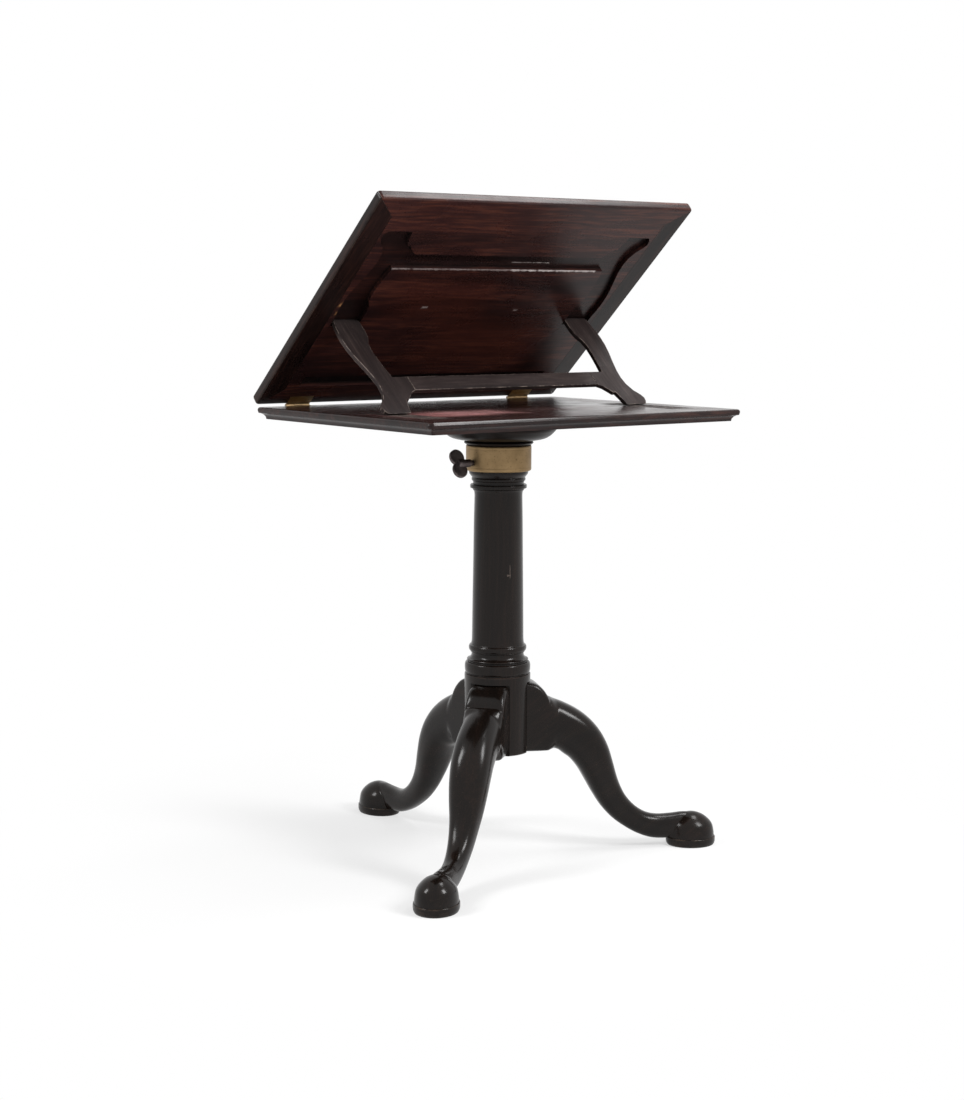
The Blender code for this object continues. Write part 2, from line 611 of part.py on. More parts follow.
def add_post(mast):
    """The sliding post and the headed iron pin on which the top turns."""
    ease = POST_RADIUS / 12
    bore = SWIVEL_PIN_RADIUS + FIT_GAP
    pin_foot = POST_TOP - SWIVEL_PIN_IN_POST
    profile = [
        (0.0, pin_foot - FIT_GAP), (bore, pin_foot - FIT_GAP), (bore, POST_TOP), (POST_RADIUS - ease, POST_TOP),
        (POST_RADIUS, POST_TOP - ease), (POST_RADIUS, POST_BOTTOM + ease), (POST_RADIUS - ease, POST_BOTTOM),
        (0.0, POST_BOTTOM),
    ]
    turned("post", profile, DRY_MAHOGANY, mast)
    head_top = BOSS_TOP - SWIVEL_END_PLAY
    head_bottom = head_top - SWIVEL_HEAD_THICKNESS
    pin = [
        (0.0, head_top), (SWIVEL_HEAD_RADIUS - ease, head_top), (SWIVEL_HEAD_RADIUS, head_top - ease),
        (SWIVEL_HEAD_RADIUS, head_bottom), (SWIVEL_PIN_RADIUS, head_bottom),
        (SWIVEL_PIN_RADIUS, pin_foot + ease), (SWIVEL_PIN_RADIUS - ease, pin_foot), (0.0, pin_foot),
    ]
    turned("swivel_pin", pin, DARK_IRON, mast, steps=24)


def boss_screw_places():
    """Where the boss's screws stand in plan."""
    angles = [(index + 0.5) * 2 * math.pi / BOSS_SCREW_COUNT for index in range(BOSS_SCREW_COUNT)]
    return [(BOSS_SCREW_REACH * math.cos(angle), BOSS_SCREW_REACH * math.sin(angle), 0) for angle in angles]


def add_boss(top):
    """The turned boss under the bed, with the ring that sits on the collar, its bores and its four screws."""
    bore = SWIVEL_PIN_RADIUS + FIT_GAP
    post_bore = POST_RADIUS + FIT_GAP
    counterbore = SWIVEL_HEAD_RADIUS + FIT_GAP
    seat = BOSS_TOP - SWIVEL_END_PLAY - SWIVEL_HEAD_THICKNESS - FIT_GAP
    rim = BOSS_RADIUS - BOSS_FLAT_RADIUS
    side = [(BOSS_FLAT_RADIUS + out * rim, BOSS_BOTTOM + up * BOSS_HEIGHT) for out, up in BOSS_TURNING_SHARES]
    ring_middle = (BOSS_RING_BOTTOM + BOSS_BOTTOM) / 2
    profile = [(counterbore, BOSS_TOP), (BOSS_RADIUS, BOSS_TOP), *side, (BOSS_RING_NECK, BOSS_BOTTOM),
               (BOSS_RING_RADIUS, ring_middle), (BOSS_RING_NECK, BOSS_RING_BOTTOM), (post_bore, BOSS_RING_BOTTOM),
               (post_bore, BOSS_BOTTOM), (bore, BOSS_BOTTOM), (bore, seat), (counterbore, seat)]
    boss = turned("boss", profile, POLISHED_MAHOGANY, top, closed=True, steps=48)
    sunk = BOSS_BOTTOM + BOSS_SCREW_SUNK
    for index, place in enumerate(boss_screw_places()):
        wide = rod_mesh(BOSS_SCREW_HEAD_RADIUS + FIT_GAP, BOSS_RING_BOTTOM - OVERRUN, sunk, centre=place)
        combine(boss, cutter(f"boss_sink_{index + 1}", wide, top))
        slim = rod_mesh(BOSS_SCREW_RADIUS + FIT_GAP, sunk - OVERRUN, BOSS_TOP + OVERRUN, centre=place, sides=12)
        combine(boss, cutter(f"boss_hole_{index + 1}", slim, top))
        add_boss_screw(index, top, place, sunk - FIT_GAP)


def add_boss_screw(index, top, place, head_top):
    """A screw from the boss up into the bed."""
    head_bottom = head_top - BOSS_SCREW_HEAD_HEIGHT
    tip = BED_BOTTOM + BOSS_SCREW_BITE
    profile = [
        (0.0, tip), (BOSS_SCREW_RADIUS, tip - BOSS_SCREW_RADIUS), (BOSS_SCREW_RADIUS, head_top),
        (BOSS_SCREW_HEAD_RADIUS, head_top), (BOSS_SCREW_HEAD_RADIUS / 2, head_bottom), (0.0, head_bottom),
    ]
    screw = turned(f"boss_screw_{index + 1}", profile, STEEL, top, steps=12)
    screw.location = place


# Hinges

def hinge_outline(way):
    """A plate and its knuckle in side view about the axis; way is -1 for the bed's plate, 1 for the leaf's."""
    near = LEAF_UNDERSIDE
    far = near + HINGE_PLATE
    start = math.pi + math.asin(far / KNUCKLE_RADIUS)
    end = 3 * math.pi + math.asin(near / KNUCKLE_RADIUS)
    steps = 14
    angles = [start + (end - start) * i / steps for i in range(steps + 1)]
    outline = [(-HINGE_DEPTH, -far)]
    outline += [(KNUCKLE_RADIUS * math.cos(angle), KNUCKLE_RADIUS * math.sin(angle)) for angle in angles]
    outline += [(-HINGE_DEPTH, -near)]
    return [(y, -way * z) for y, z in outline]


def hinge_screw_places(centre, way):
    """Where the two screws of a hinge plate have their heads."""
    height = way * LEAF_UNDERSIDE
    return [(centre + half * HINGE_SCREW_SPACING, -HINGE_SCREW_BACK, height) for half in (-0.5, 0.5)]


def add_hinge_plate(name, centre, way, carrier):
    """One plate of a butt hinge with its knuckles, cut clear of the other plate's."""
    low = centre - HINGE_WIDTH / 2
    high = centre + HINGE_WIDTH / 2
    plate = piece(name, prism_mesh(hinge_outline(way), low, high, "X"), AGED_BRASS, carrier)
    first, second = (low + share * HINGE_WIDTH for share in KNUCKLE_SHARES)
    gaps = [(first, second)] if way < 0 else [(low - OVERRUN, first), (second, high + OVERRUN)]
    reach = KNUCKLE_RADIUS + FIT_GAP
    for index, (start, end) in enumerate(gaps):
        window = box_mesh((start - KNUCKLE_GAP / 2, -reach, -OVERRUN), (end + KNUCKLE_GAP / 2, reach, OVERRUN))
        combine(plate, cutter(f"{name}_gap_{index + 1}", window, carrier))
    bore = rod_mesh(HINGE_PIN_RADIUS + FIT_GAP, low - OVERRUN, high + OVERRUN, "X", sides=12)
    combine(plate, cutter(name + "_bore", bore, carrier))
    for index, place in enumerate(hinge_screw_places(centre, way)):
        combine(plate, hinge_screw(f"cut_{name}_sink_{index + 1}", place, way, carrier, FIT_GAP, None))


def hinge_screw(name, place, way, carrier, gap, finish):
    """A countersunk screw with its flat head on a plate's face, or with a gap the hole that it goes in."""
    head = HINGE_SCREW_HEAD_RADIUS + gap
    slim = HINGE_SCREW_RADIUS + gap
    tip = -HINGE_SCREW_LENGTH - gap
    top = OVERRUN if gap else -JOINT_HALF_GAP
    profile = [
        (0.0, top), (head, top), (head, -HINGE_SCREW_RIM - gap), (slim, -HINGE_PLATE - gap),
        (slim, tip + HINGE_SCREW_RADIUS), (0.0, tip),
    ]
    screw = turned(name, profile, finish, carrier, steps=16)
    screw.location = place
    screw.rotation_euler = (math.pi if way > 0 else 0.0, 0.0, 0.0)
    return screw


def let_in_hinge(board, name, centre, way, carrier):
    """Cuts the seat of one hinge plate and its screw holes into a board, and drives the screws."""
    half = HINGE_WIDTH / 2 + FIT_GAP
    depth = LEAF_UNDERSIDE + HINGE_PLATE + FIT_GAP
    low, high = sorted((way * depth, -way * OVERRUN))
    seat = box_mesh((centre - half, -HINGE_DEPTH - FIT_GAP, low), (centre + half, OVERRUN, high))
    combine(board, cutter(name + "_seat", seat, carrier))
    for index, place in enumerate(hinge_screw_places(centre, way)):
        combine(board, hinge_screw(f"cut_{name}_hole_{index + 1}", place, way, carrier, FIT_GAP, None))
        hinge_screw(f"{name}_screw_{index + 1}", place, way, carrier, 0.0, AGED_BRASS)


def add_hinge(side, way, hinge_line, leaf):
    """Both plates of one hinge and its pin."""
    centre = way * HINGE_CENTRE
    add_hinge_plate(f"hinge_{side}_lower", centre, -1, hinge_line)
    add_hinge_plate(f"hinge_{side}_upper", centre, 1, leaf)
    pin = rod_mesh(HINGE_PIN_RADIUS, centre - HINGE_WIDTH / 2, centre + HINGE_WIDTH / 2, "X", sides=12)
    piece(f"hinge_{side}_pin", pin, STEEL, hinge_line)


# Bed and racks

def bed_edge():
    """The bed's moulded edge from its underside up: a cove under a rounded nosing."""
    cove = BED_THICKNESS - BED_NOSING
    nose = BED_NOSING / 2
    edge = []
    for step in range(5):
        angle = step * math.pi / 8
        edge.append((BED_LIP + BED_COVE_DEPTH * math.cos(angle), BED_BOTTOM + cove * math.sin(angle)))
    for step in range(5):
        angle = (step - 1) * math.pi / 6
        edge.append((nose * (1 - math.cos(angle)), BED_TOP + nose * (math.sin(angle) - 1)))
    return edge


def prop_reach(tilt):
    """How far from the hinge axis the prop's foot stands, for a tilt of the leaf."""
    return 2 * PROP_LENGTH * math.cos(tilt) - (PIVOT_HEIGHT - FOOT_EDGE_OFFSET) * math.sin(tilt)


def rack_ends():
    """The rack's front and back end in plan, from the prop's reach at its limits."""
    front = HINGE_AXIS_Y - prop_reach(0.0) - RACK_MARGIN
    back = HINGE_AXIS_Y - prop_reach(STEEPEST_TILT) + RACK_MARGIN
    return front, back


def add_bed(top, hinge_line):
    """The moulded bed with the seats of its racks, hinges and screws."""
    bed = piece("bed", slab_mesh(BED_LENGTH, BED_DEPTH, BED_CORNER_RADIUS, bed_edge()), LEAF_MAHOGANY, top)
    front, back = rack_ends()
    half = RACK_WIDTH / 2
    for side, way in (("left", -1), ("right", 1)):
        centre = way * RACK_CENTRE
        slot = box_mesh((centre - half, front, BED_TOP - RACK_DEPTH), (centre + half, back, BED_TOP + OVERRUN))
        combine(bed, cutter(f"rack_slot_{side}", slot, top))
        add_rack(f"rack_{side}", centre, top)
        let_in_hinge(bed, f"hinge_{side}_lower", way * HINGE_CENTRE, -1, hinge_line)
    for index, place in enumerate(boss_screw_places()):
        tip = BED_BOTTOM + BOSS_SCREW_BITE + FIT_GAP
        hole = rod_mesh(BOSS_SCREW_RADIUS + FIT_GAP, BED_BOTTOM - OVERRUN, tip, centre=place, sides=12)
        combine(bed, cutter(f"bed_hole_{index + 1}", hole, top))


def add_rack(name, centre, top):
    """A hardwood strip let into the bed, with notches for the prop's foot and one at its place at rest."""
    front, back = rack_ends()
    front += FIT_GAP
    back -= FIT_GAP
    floor = BED_TOP - RACK_DEPTH + FIT_GAP
    level = BED_TOP - RACK_SINK
    wall = HINGE_AXIS_Y - prop_reach(LEAF_TILT) - FOOT_EDGE_RADIUS - FIT_GAP
    wall -= RACK_NOTCH_PITCH * math.floor((wall - front - RACK_NOTCH_WIDTH) / RACK_NOTCH_PITCH)
    outline = [(front, floor), (front, level)]
    while wall + RACK_NOTCH_WIDTH < back - RACK_NOTCH_WIDTH:
        outline += [(wall, level), (wall, level - RACK_NOTCH_DEPTH), (wall + RACK_NOTCH_WIDTH, level)]
        wall += RACK_NOTCH_PITCH
    outline += [(back, level), (back, floor)]
    half = RACK_WIDTH / 2 - FIT_GAP
    piece(name, prism_mesh(outline, centre - half, centre + half, "X"), DRY_MAHOGANY, top)


# Leaf

def leaf_slab():
    """The leaf's whole outline as one board, from which its middle and its clamps are cut."""
    high = LEAF_UNDERSIDE + LEAF_THICKNESS
    arc = [step * math.pi / 6 for step in range(4)]
    edge = [(LEAF_EDGE_ROUND * (1 - math.sin(a)), LEAF_UNDERSIDE + LEAF_EDGE_ROUND * (1 - math.cos(a)))
            for a in arc]
    edge += [(LEAF_EDGE_ROUND * (1 - math.cos(a)), high - LEAF_EDGE_ROUND * (1 - math.sin(a))) for a in arc]
    return slab_mesh(BED_LENGTH, BED_DEPTH, LEAF_CORNER_RADIUS, edge, centre_y=-HINGE_AXIS_Y)


def clamp_space(way, inward):
    """The mitred space of one clamp, moved inward or outward for the joint."""
    outer = BED_LENGTH / 2 + OVERRUN
    inner = BED_LENGTH / 2 - CLAMP_WIDTH - inward
    back = BED_DEPTH / 2 - HINGE_AXIS_Y
    front = -BED_DEPTH / 2 - HINGE_AXIS_Y
    slip = inward * math.sqrt(2)
    outline = [
        (outer, back + OVERRUN + slip), (inner, back - CLAMP_WIDTH - inward + slip),
        (inner, front + CLAMP_WIDTH + inward - slip), (outer, front - OVERRUN - slip),
    ]
    placed = [(way * x, y) for x, y in outline]
    return prism_mesh(placed, LEAF_UNDERSIDE - OVERRUN, LEAF_UNDERSIDE + LEAF_THICKNESS + OVERRUN)


def add_leaf(leaf):
    """The leaf: a middle board between two mitred clamps, with every seat cut into its underside."""
    board = piece("leaf_board", leaf_slab(), LEAF_MAHOGANY, leaf)
    depth = PROP_THICKNESS + 2 * FIT_GAP
    recess = prism_mesh(recess_outline(), LEAF_UNDERSIDE - OVERRUN, LEAF_UNDERSIDE + depth)
    combine(board, cutter("prop_recess", recess, leaf))
    slot = prism_mesh(ledge_outline(FIT_GAP, OVERRUN), -LEDGE_FRONT, LEDGE_WIDTH - LEDGE_FRONT, "Y")
    combine(board, cutter("ledge_slot", slot, leaf))
    for side, way in (("left", -1), ("right", 1)):
        combine(board, cutter("prop_slope_" + side, prop_slope(way), leaf))
        combine(board, cutter("board_end_" + side, clamp_space(way, JOINT_HALF_GAP), leaf))
        clamp = piece("leaf_clamp_" + side, leaf_slab(), LEAF_MAHOGANY, leaf)
        combine(clamp, cutter("clamp_space_" + side, clamp_space(way, -JOINT_HALF_GAP), leaf), "INTERSECT")
        let_in_hinge(board, f"hinge_{side}_upper", way * HINGE_CENTRE, 1, leaf)
        add_strut_pin(board, side, way, leaf)


def prop_slope(way):
    """The sloped end of a strut's recess, which lets the strut swing past a right angle."""
    reach = PROP_THICKNESS / 2 + 2 * FIT_GAP
    normal_y = math.sin(2 * STEEPEST_TILT)
    normal_z = -math.cos(2 * STEEPEST_TILT)
    start_y = reach * PROP_SLOPE_START_SHARE
    below = LEAF_UNDERSIDE - PIVOT_HEIGHT - OVERRUN
    start_z = (reach - normal_y * start_y) / normal_z
    mouth_y = (reach - normal_z * below) / normal_y
    outline = [(0.0, start_z), (start_y, start_z), (mouth_y, below), (0.0, below)]
    placed = [(y - PROP_LENGTH, z + PIVOT_HEIGHT) for y, z in outline]
    inner, outer = strut_head_sides(PROP_CLEARANCE + FIT_GAP)
    return prism_mesh(placed, *across(way, inner, outer), "X")


def add_strut_pin(board, side, way, leaf):
    """The steel pin of one strut, in a hole that is drilled in from the board's end."""
    start = strut_head_sides(PROP_CLEARANCE)[0] - STRUT_PIN_BITE
    end = BED_LENGTH / 2 - CLAMP_WIDTH - JOINT_HALF_GAP
    centre = (0, -PROP_LENGTH, PIVOT_HEIGHT)
    low, high = across(way, start - FIT_GAP, end + OVERRUN)
    hole = rod_mesh(STRUT_PIN_RADIUS + FIT_GAP, low, high, "X", centre, sides=12)
    combine(board, cutter("strut_pin_hole_" + side, hole, leaf))
    low, high = across(way, start, end - FIT_GAP)
    piece("strut_pin_" + side, rod_mesh(STRUT_PIN_RADIUS, low, high, "X", centre, sides=12), STEEL, leaf)


def ledge_outline(gap, spare):
    """The ledge in front view, or its slot with a gap all round, open by spare at the top and the bottom."""
    reading_face = LEAF_UNDERSIDE + LEAF_THICKNESS
    half = LEDGE_LENGTH / 2 + (gap - FIT_GAP)
    wide = half + LEDGE_FLANGE
    shoulder = reading_face - LEDGE_SHOULDER - FIT_GAP + gap
    top = reading_face + (spare or LEDGE_RISE)
    bottom = LEAF_UNDERSIDE - spare if spare else shoulder - LEDGE_FLANGE_THICKNESS
    return [(-wide, bottom), (wide, bottom), (wide, shoulder), (half, shoulder), (half, top), (-half, top),
            (-half, shoulder), (-wide, shoulder)]


def add_ledge(leaf):
    """The book ledge: a bar that rises through the reading face, stopped by a flange at each end."""
    back = LEDGE_WIDTH - LEDGE_FRONT - FIT_GAP
    bar = prism_mesh(ledge_outline(0.0, 0.0), FIT_GAP - LEDGE_FRONT, back, "Y")
    face = LEAF_UNDERSIDE + LEAF_THICKNESS
    upper = [edge for edge in bar.edges if min(vert.co.z for vert in edge.verts) > face]
    bmesh.ops.bevel(bar, geom=upper, offset=LEDGE_EASING, offset_type="OFFSET", segments=2, profile=0.5,
                    affect="EDGES")
    piece("book_ledge", bar, LEAF_MAHOGANY, leaf)


# Prop: two shaped struts and their crossbar

def strut_points(shares, grow=0.0, lower=0.0):
    """Points of the right strut's outline: (distance from the middle, distance from the pin)."""
    return [(PROP_HALF_SPAN - inside * STRUT_FOOT_WIDTH + grow, along * PROP_LENGTH + lower)
            for inside, along in shares]


def strut_head_sides(grow):
    """The widest inner and outer side of the strut near its pin, as distances from the middle."""
    inner = min(x for x, along in strut_points(STRUT_INNER_SHARES)[:2])
    outer = max(x for x, along in strut_points(STRUT_OUTER_SHARES)[:2])
    return inner - grow, outer + grow


def strut_outline(grow, head, end):
    """The right strut from the crossbar's upper side, round its head and its foot, to the bar's lower side."""
    outer = strut_points(STRUT_OUTER_SHARES, grow)
    inner = strut_points(STRUT_INNER_SHARES, -grow)
    bracket = strut_points(STRUT_BRACKET_SHARES, -grow, grow)
    low = CROSSBAR_TOP + CROSSBAR_WIDTH + grow
    if grow:
        side_in, side_out = strut_head_sides(grow)
        inner[0] = (side_in, inner[0][1])
        outer[0] = (side_out, outer[0][1])
    return [
        (inner[-1][0], CROSSBAR_TOP - grow), *inner[::-1], (inner[0][0], head), (outer[0][0], head), *outer,
        (outer[-1][0], max(end, outer[-1][1])), (bracket[-1][0], max(end, bracket[-1][1])), *bracket[::-1],
        (CROSSBAR_HALF_LENGTH, low),
    ]


def recess_outline():
    """The recess of the folded prop in the leaf's plan."""
    head = -PROP_THICKNESS / 2 - 2 * FIT_GAP
    right = strut_outline(PROP_CLEARANCE, head, PROP_LENGTH + FOOT_TOE + PROP_CLEARANCE - FIT_GAP)
    left = [(-x, along) for x, along in right[::-1]]
    return [(x, -PROP_LENGTH - along) for x, along in right + left]


def strut_side_view():
    """The strut seen from its side: round at the pin, and at the foot an edge under a sloped toe."""
    half = PROP_THICKNESS / 2
    head = [(half * math.cos(angle), half * math.sin(angle))
            for angle in [math.pi / 2 - i * math.pi / 10 for i in range(11)]]
    edge = [
        (-PROP_LENGTH - FOOT_EDGE_RADIUS * math.cos(angle), FOOT_EDGE_OFFSET + FOOT_EDGE_RADIUS * math.sin(angle))
        for angle in (-math.pi / 2, -math.pi / 4, 0.0)
    ]
    return [*head, *edge, (-PROP_LENGTH - FOOT_TOE, half)]


def tenon_mesh(way, gap):
    """The tenon on one end of the crossbar, or with a gap its mortise."""
    low, high = across(way, CROSSBAR_HALF_LENGTH - OVERRUN, CROSSBAR_HALF_LENGTH + TENON_LENGTH + gap)
    near = -CROSSBAR_TOP - TENON_MARGIN + gap
    far = -CROSSBAR_TOP - CROSSBAR_WIDTH + TENON_MARGIN - gap
    thick = TENON_THICKNESS / 2 + gap
    return box_mesh((low, far, -thick), (high, near, thick))


def add_prop(prop):
    """Two struts, each round at its pin and cut to an edge at its foot, and the tenoned crossbar."""
    half = PROP_THICKNESS / 2
    for side, way in (("left", -1), ("right", 1)):
        outline = strut_outline(0.0, -half - OVERRUN, PROP_LENGTH + FOOT_TOE + OVERRUN)
        outline += [(CROSSBAR_HALF_LENGTH, CROSSBAR_TOP)]
        placed = [(way * x, -along) for x, along in outline]
        strut = piece("strut_" + side, prism_mesh(placed, -half - OVERRUN, half + OVERRUN), DRY_MAHOGANY, prop)
        span = across(way, CROSSBAR_HALF_LENGTH - OVERRUN, PROP_HALF_SPAN + OVERRUN)
        sides = cutter("strut_sides_" + side, prism_mesh(strut_side_view(), *span, "X"), prop)
        combine(strut, sides, "INTERSECT")
        hole = rod_mesh(STRUT_PIN_RADIUS + FIT_GAP, *across(way, *strut_head_sides(OVERRUN)), "X", sides=12)
        combine(strut, cutter("strut_hole_" + side, hole, prop))
        combine(strut, cutter("mortise_" + side, tenon_mesh(way, FIT_GAP), prop))
    end = CROSSBAR_HALF_LENGTH - FIT_GAP
    beam = box_mesh((-end, -CROSSBAR_TOP - CROSSBAR_WIDTH, -half), (end, -CROSSBAR_TOP, half))
    bar = piece("crossbar", beam, DRY_MAHOGANY, prop)
    for side, way in (("left", -1), ("right", 1)):
        combine(bar, cutter("tenon_" + side, tenon_mesh(way, 0.0), prop), "UNION")


def main():
    """Builds the table, body by body."""
    start_empty()
    place = column_place()
    stand = frame("stand", location=place)
    add_column(stand)
    add_column_plug(stand)
    add_tripod_plate(stand)
    for name, angle in zip(("leg_front", "leg_right", "leg_rear"), LEG_DIRECTIONS):
        add_leg(name, angle, stand)
    add_collar(stand)
    add_clamp(stand)
    mast = frame("mast", location=place)
    add_post(mast)
    top = frame("top", parent=mast)
    add_boss(top)
    axis = (0, HINGE_AXIS_Y, HINGE_AXIS_Z)
    hinge_line = frame("hinge_line", top, location=axis)
    add_bed(top, hinge_line)
    leaf = frame("leaf", top, location=axis, turn_x=-LEAF_TILT)
    add_leaf(leaf)
    add_ledge(leaf)
    for side, way in (("left", -1), ("right", 1)):
        add_hinge(side, way, hinge_line, leaf)
    prop = frame("prop", leaf, location=(0, -PROP_LENGTH, PIVOT_HEIGHT), turn_x=2 * LEAF_TILT)
    add_prop(prop)


main()
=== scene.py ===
"""Looks of the tilting reading table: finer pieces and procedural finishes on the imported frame.

Metres, +Z up, in the frame's own coordinates. Every new piece rides on the body of its CAD node.
"""

from __future__ import annotations

import json
import logging
import math
from dataclasses import dataclass, field, replace
from enum import Enum
from typing import Any, Iterable, Optional, Sequence

import bmesh
import bpy
from mathutils import Matrix, Vector

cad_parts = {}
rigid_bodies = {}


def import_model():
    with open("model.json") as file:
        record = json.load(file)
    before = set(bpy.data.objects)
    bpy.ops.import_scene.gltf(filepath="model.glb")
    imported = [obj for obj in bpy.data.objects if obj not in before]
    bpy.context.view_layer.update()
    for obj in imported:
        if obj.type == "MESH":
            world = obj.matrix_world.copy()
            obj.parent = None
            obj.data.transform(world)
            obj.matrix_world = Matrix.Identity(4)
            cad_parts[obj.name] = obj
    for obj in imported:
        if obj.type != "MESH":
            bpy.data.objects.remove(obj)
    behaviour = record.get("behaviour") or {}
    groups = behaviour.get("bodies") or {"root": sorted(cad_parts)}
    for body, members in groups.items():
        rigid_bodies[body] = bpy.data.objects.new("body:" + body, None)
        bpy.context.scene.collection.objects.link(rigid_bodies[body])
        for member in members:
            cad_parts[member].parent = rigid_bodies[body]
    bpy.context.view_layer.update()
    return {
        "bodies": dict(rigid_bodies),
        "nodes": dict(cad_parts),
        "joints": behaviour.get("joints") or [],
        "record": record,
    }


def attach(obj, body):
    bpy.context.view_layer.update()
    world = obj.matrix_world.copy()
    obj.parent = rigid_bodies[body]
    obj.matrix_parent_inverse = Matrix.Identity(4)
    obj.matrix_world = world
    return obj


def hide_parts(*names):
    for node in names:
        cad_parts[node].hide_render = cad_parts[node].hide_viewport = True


LOG = logging.getLogger("reading_table")

Colour = tuple[float, float, float]
Point = tuple[float, float]
Point3 = tuple[float, float, float]
Rings = list[list[Vector]]

MERGE_DISTANCE = 1e-5
RUB = "rub"
FLAT_ANGLE = math.radians(0.4)
SHARP_ANGLE = math.radians(24)
SMOOTH_ANGLE = math.radians(38)
BACK_TURN = math.pi / 2
SPARE = 0.004
GAP = 0.0003
ROD_SEGMENTS = 32
HINGE_EASING = 0.00025
HINGE_SCREW_EASING = 0.0001
SCREW_EASING = 0.0002
MOST_FRAY = 0.003
FACE_EDGE = 0.0004
FIGURE_RANGE = (0.34, 0.66)
STREAK_RANGE = (0.42, 0.68)
STREAKS_TO_FIGURE = 9.0
PORE_RANGE = (0.58, 0.70)
PORES_TO_FIGURE = 36.0
WEAR_RANGE = (0.40, 0.62)
CORNER_RANGE = (0.85, 0.35)
SMUDGE_RANGE = (0.3, 0.7)
SCRATCH_RANGE = (0.80, 0.86)
TARNISH_RANGE = (0.36, 0.66)
PIT_RANGE = (0.60, 0.72)
PROFILE_STEPS = 5
FOOT_STEPS = 4
RIM_STEPS = 3


class Body(Enum):
    """The bodies of the frame."""

    STAND = "stand"
    THUMBSCREW = "thumbscrew"
    CLAMP = "clamp"
    MAST = "mast"
    TOP = "top"
    LEAF = "leaf"
    PROP = "prop"
    LEDGE = "ledge"


class Slot(Enum):
    """The record's material slots."""

    POLISHED = "polished_mahogany"
    LEAF = "leaf_mahogany"
    DRY = "dry_mahogany"
    BRASS = "aged_brass"
    IRON = "dark_iron"
    STEEL = "steel"


class Side(Enum):
    """The two ends of the top, as the sign of X."""

    LEFT = -1
    RIGHT = 1

    @property
    def word(self) -> str:
        """The side's name in the names of nodes."""
        return self.name.lower()


class Join(Enum):
    """How a tool is combined with a piece."""

    CUT = "DIFFERENCE"
    ADD = "UNION"


class Group(Enum):
    """The node groups that several finishes share."""

    WOOD_GRAIN = "wood grain"
    EDGE_WEAR = "edge wear"
    GRIME = "gathered grime"
    # The mask of this group darkens closed-in corners: gathered dust, and on the wood also painted shade.
    HANDLING = "handling marks"


# Node trees


class NodeBuilder:
    """Adds and links the nodes of one material, world or node group."""

    def __init__(self, tree: bpy.types.NodeTree) -> None:
        """Works on the given tree."""
        self.tree = tree

    def add(self, kind: str, inputs: Optional[dict[Any, Any]] = None, **settings: Any) -> bpy.types.Node:
        """Adds one node.

        Args:
            kind: The node's type name.
            inputs: Sockets to fill, by name or index, each with a value or with another node's output.
            settings: Properties of the node.

        Returns:
            The new node.
        """
        node = self.tree.nodes.new(kind)
        for key, value in settings.items():
            setattr(node, key, value)
        for key, value in (inputs or {}).items():
            self.feed(node.inputs[key], value)
        return node

    def feed(self, socket: bpy.types.NodeSocket, value: Any) -> None:
        """Links an output to a socket, or sets the socket's own value."""
        if isinstance(value, bpy.types.NodeSocket):
            self.tree.links.new(value, socket)
        else:
            socket.default_value = value

    def calc(self, operation: str, first: Any, second: Any = 0.0,
             clamp: bool = False) -> bpy.types.NodeSocket:
        """Returns the result of one Math node."""
        node = self.add("ShaderNodeMath", {0: first, 1: second}, operation=operation, use_clamp=clamp)
        return node.outputs[0]

    def vector(self, operation: str, first: Any, second: Any) -> bpy.types.NodeSocket:
        """Returns the vector result of one Vector Math node."""
        return self.add("ShaderNodeVectorMath", {0: first, 1: second}, operation=operation).outputs[0]

    def noise(self, vector: Any, scale: Any, detail: float = 2.0, roughness: float = 0.5,
              distortion: float = 0.0) -> bpy.types.NodeSocket:
        """Returns the value of a noise texture.

        Args:
            vector: Where the texture is read.
            scale: Features for each metre.
            detail: Number of octaves.
            roughness: Strength of the finer octaves.
            distortion: How far the pattern is bent.

        Returns:
            The noise value, about 0.5 on average.
        """
        sockets = {"Vector": vector, "Scale": scale, "Detail": detail, "Roughness": roughness,
                   "Distortion": distortion}
        return self.add("ShaderNodeTexNoise", sockets).outputs[0]

    def remap(self, value: Any, low: float, high: float, to_low: float = 0.0,
              to_high: float = 1.0) -> bpy.types.NodeSocket:
        """Maps a value from one range to another, clamped.

        Args:
            value: The value to map.
            low: Where the source range starts.
            high: Where the source range ends.
            to_low: The result at low.
            to_high: The result at high.

        Returns:
            The mapped value.
        """
        sockets = {"Value": value, "From Min": low, "From Max": high, "To Min": to_low, "To Max": to_high}
        return self.add("ShaderNodeMapRange", sockets, interpolation_type="SMOOTHSTEP").outputs[0]

    def blend(self, share: Any, first: Any, second: Any) -> bpy.types.NodeSocket:
        """Returns a mix of two colours."""
        node = self.add("ShaderNodeMix", data_type="RGBA", blend_type="MIX", clamp_factor=True)
        for index, value in ((0, share), (6, first), (7, second)):
            colour = (*value, 1.0) if isinstance(value, tuple) and len(value) == 3 else value
            self.feed(node.inputs[index], colour)
        return node.outputs[2]


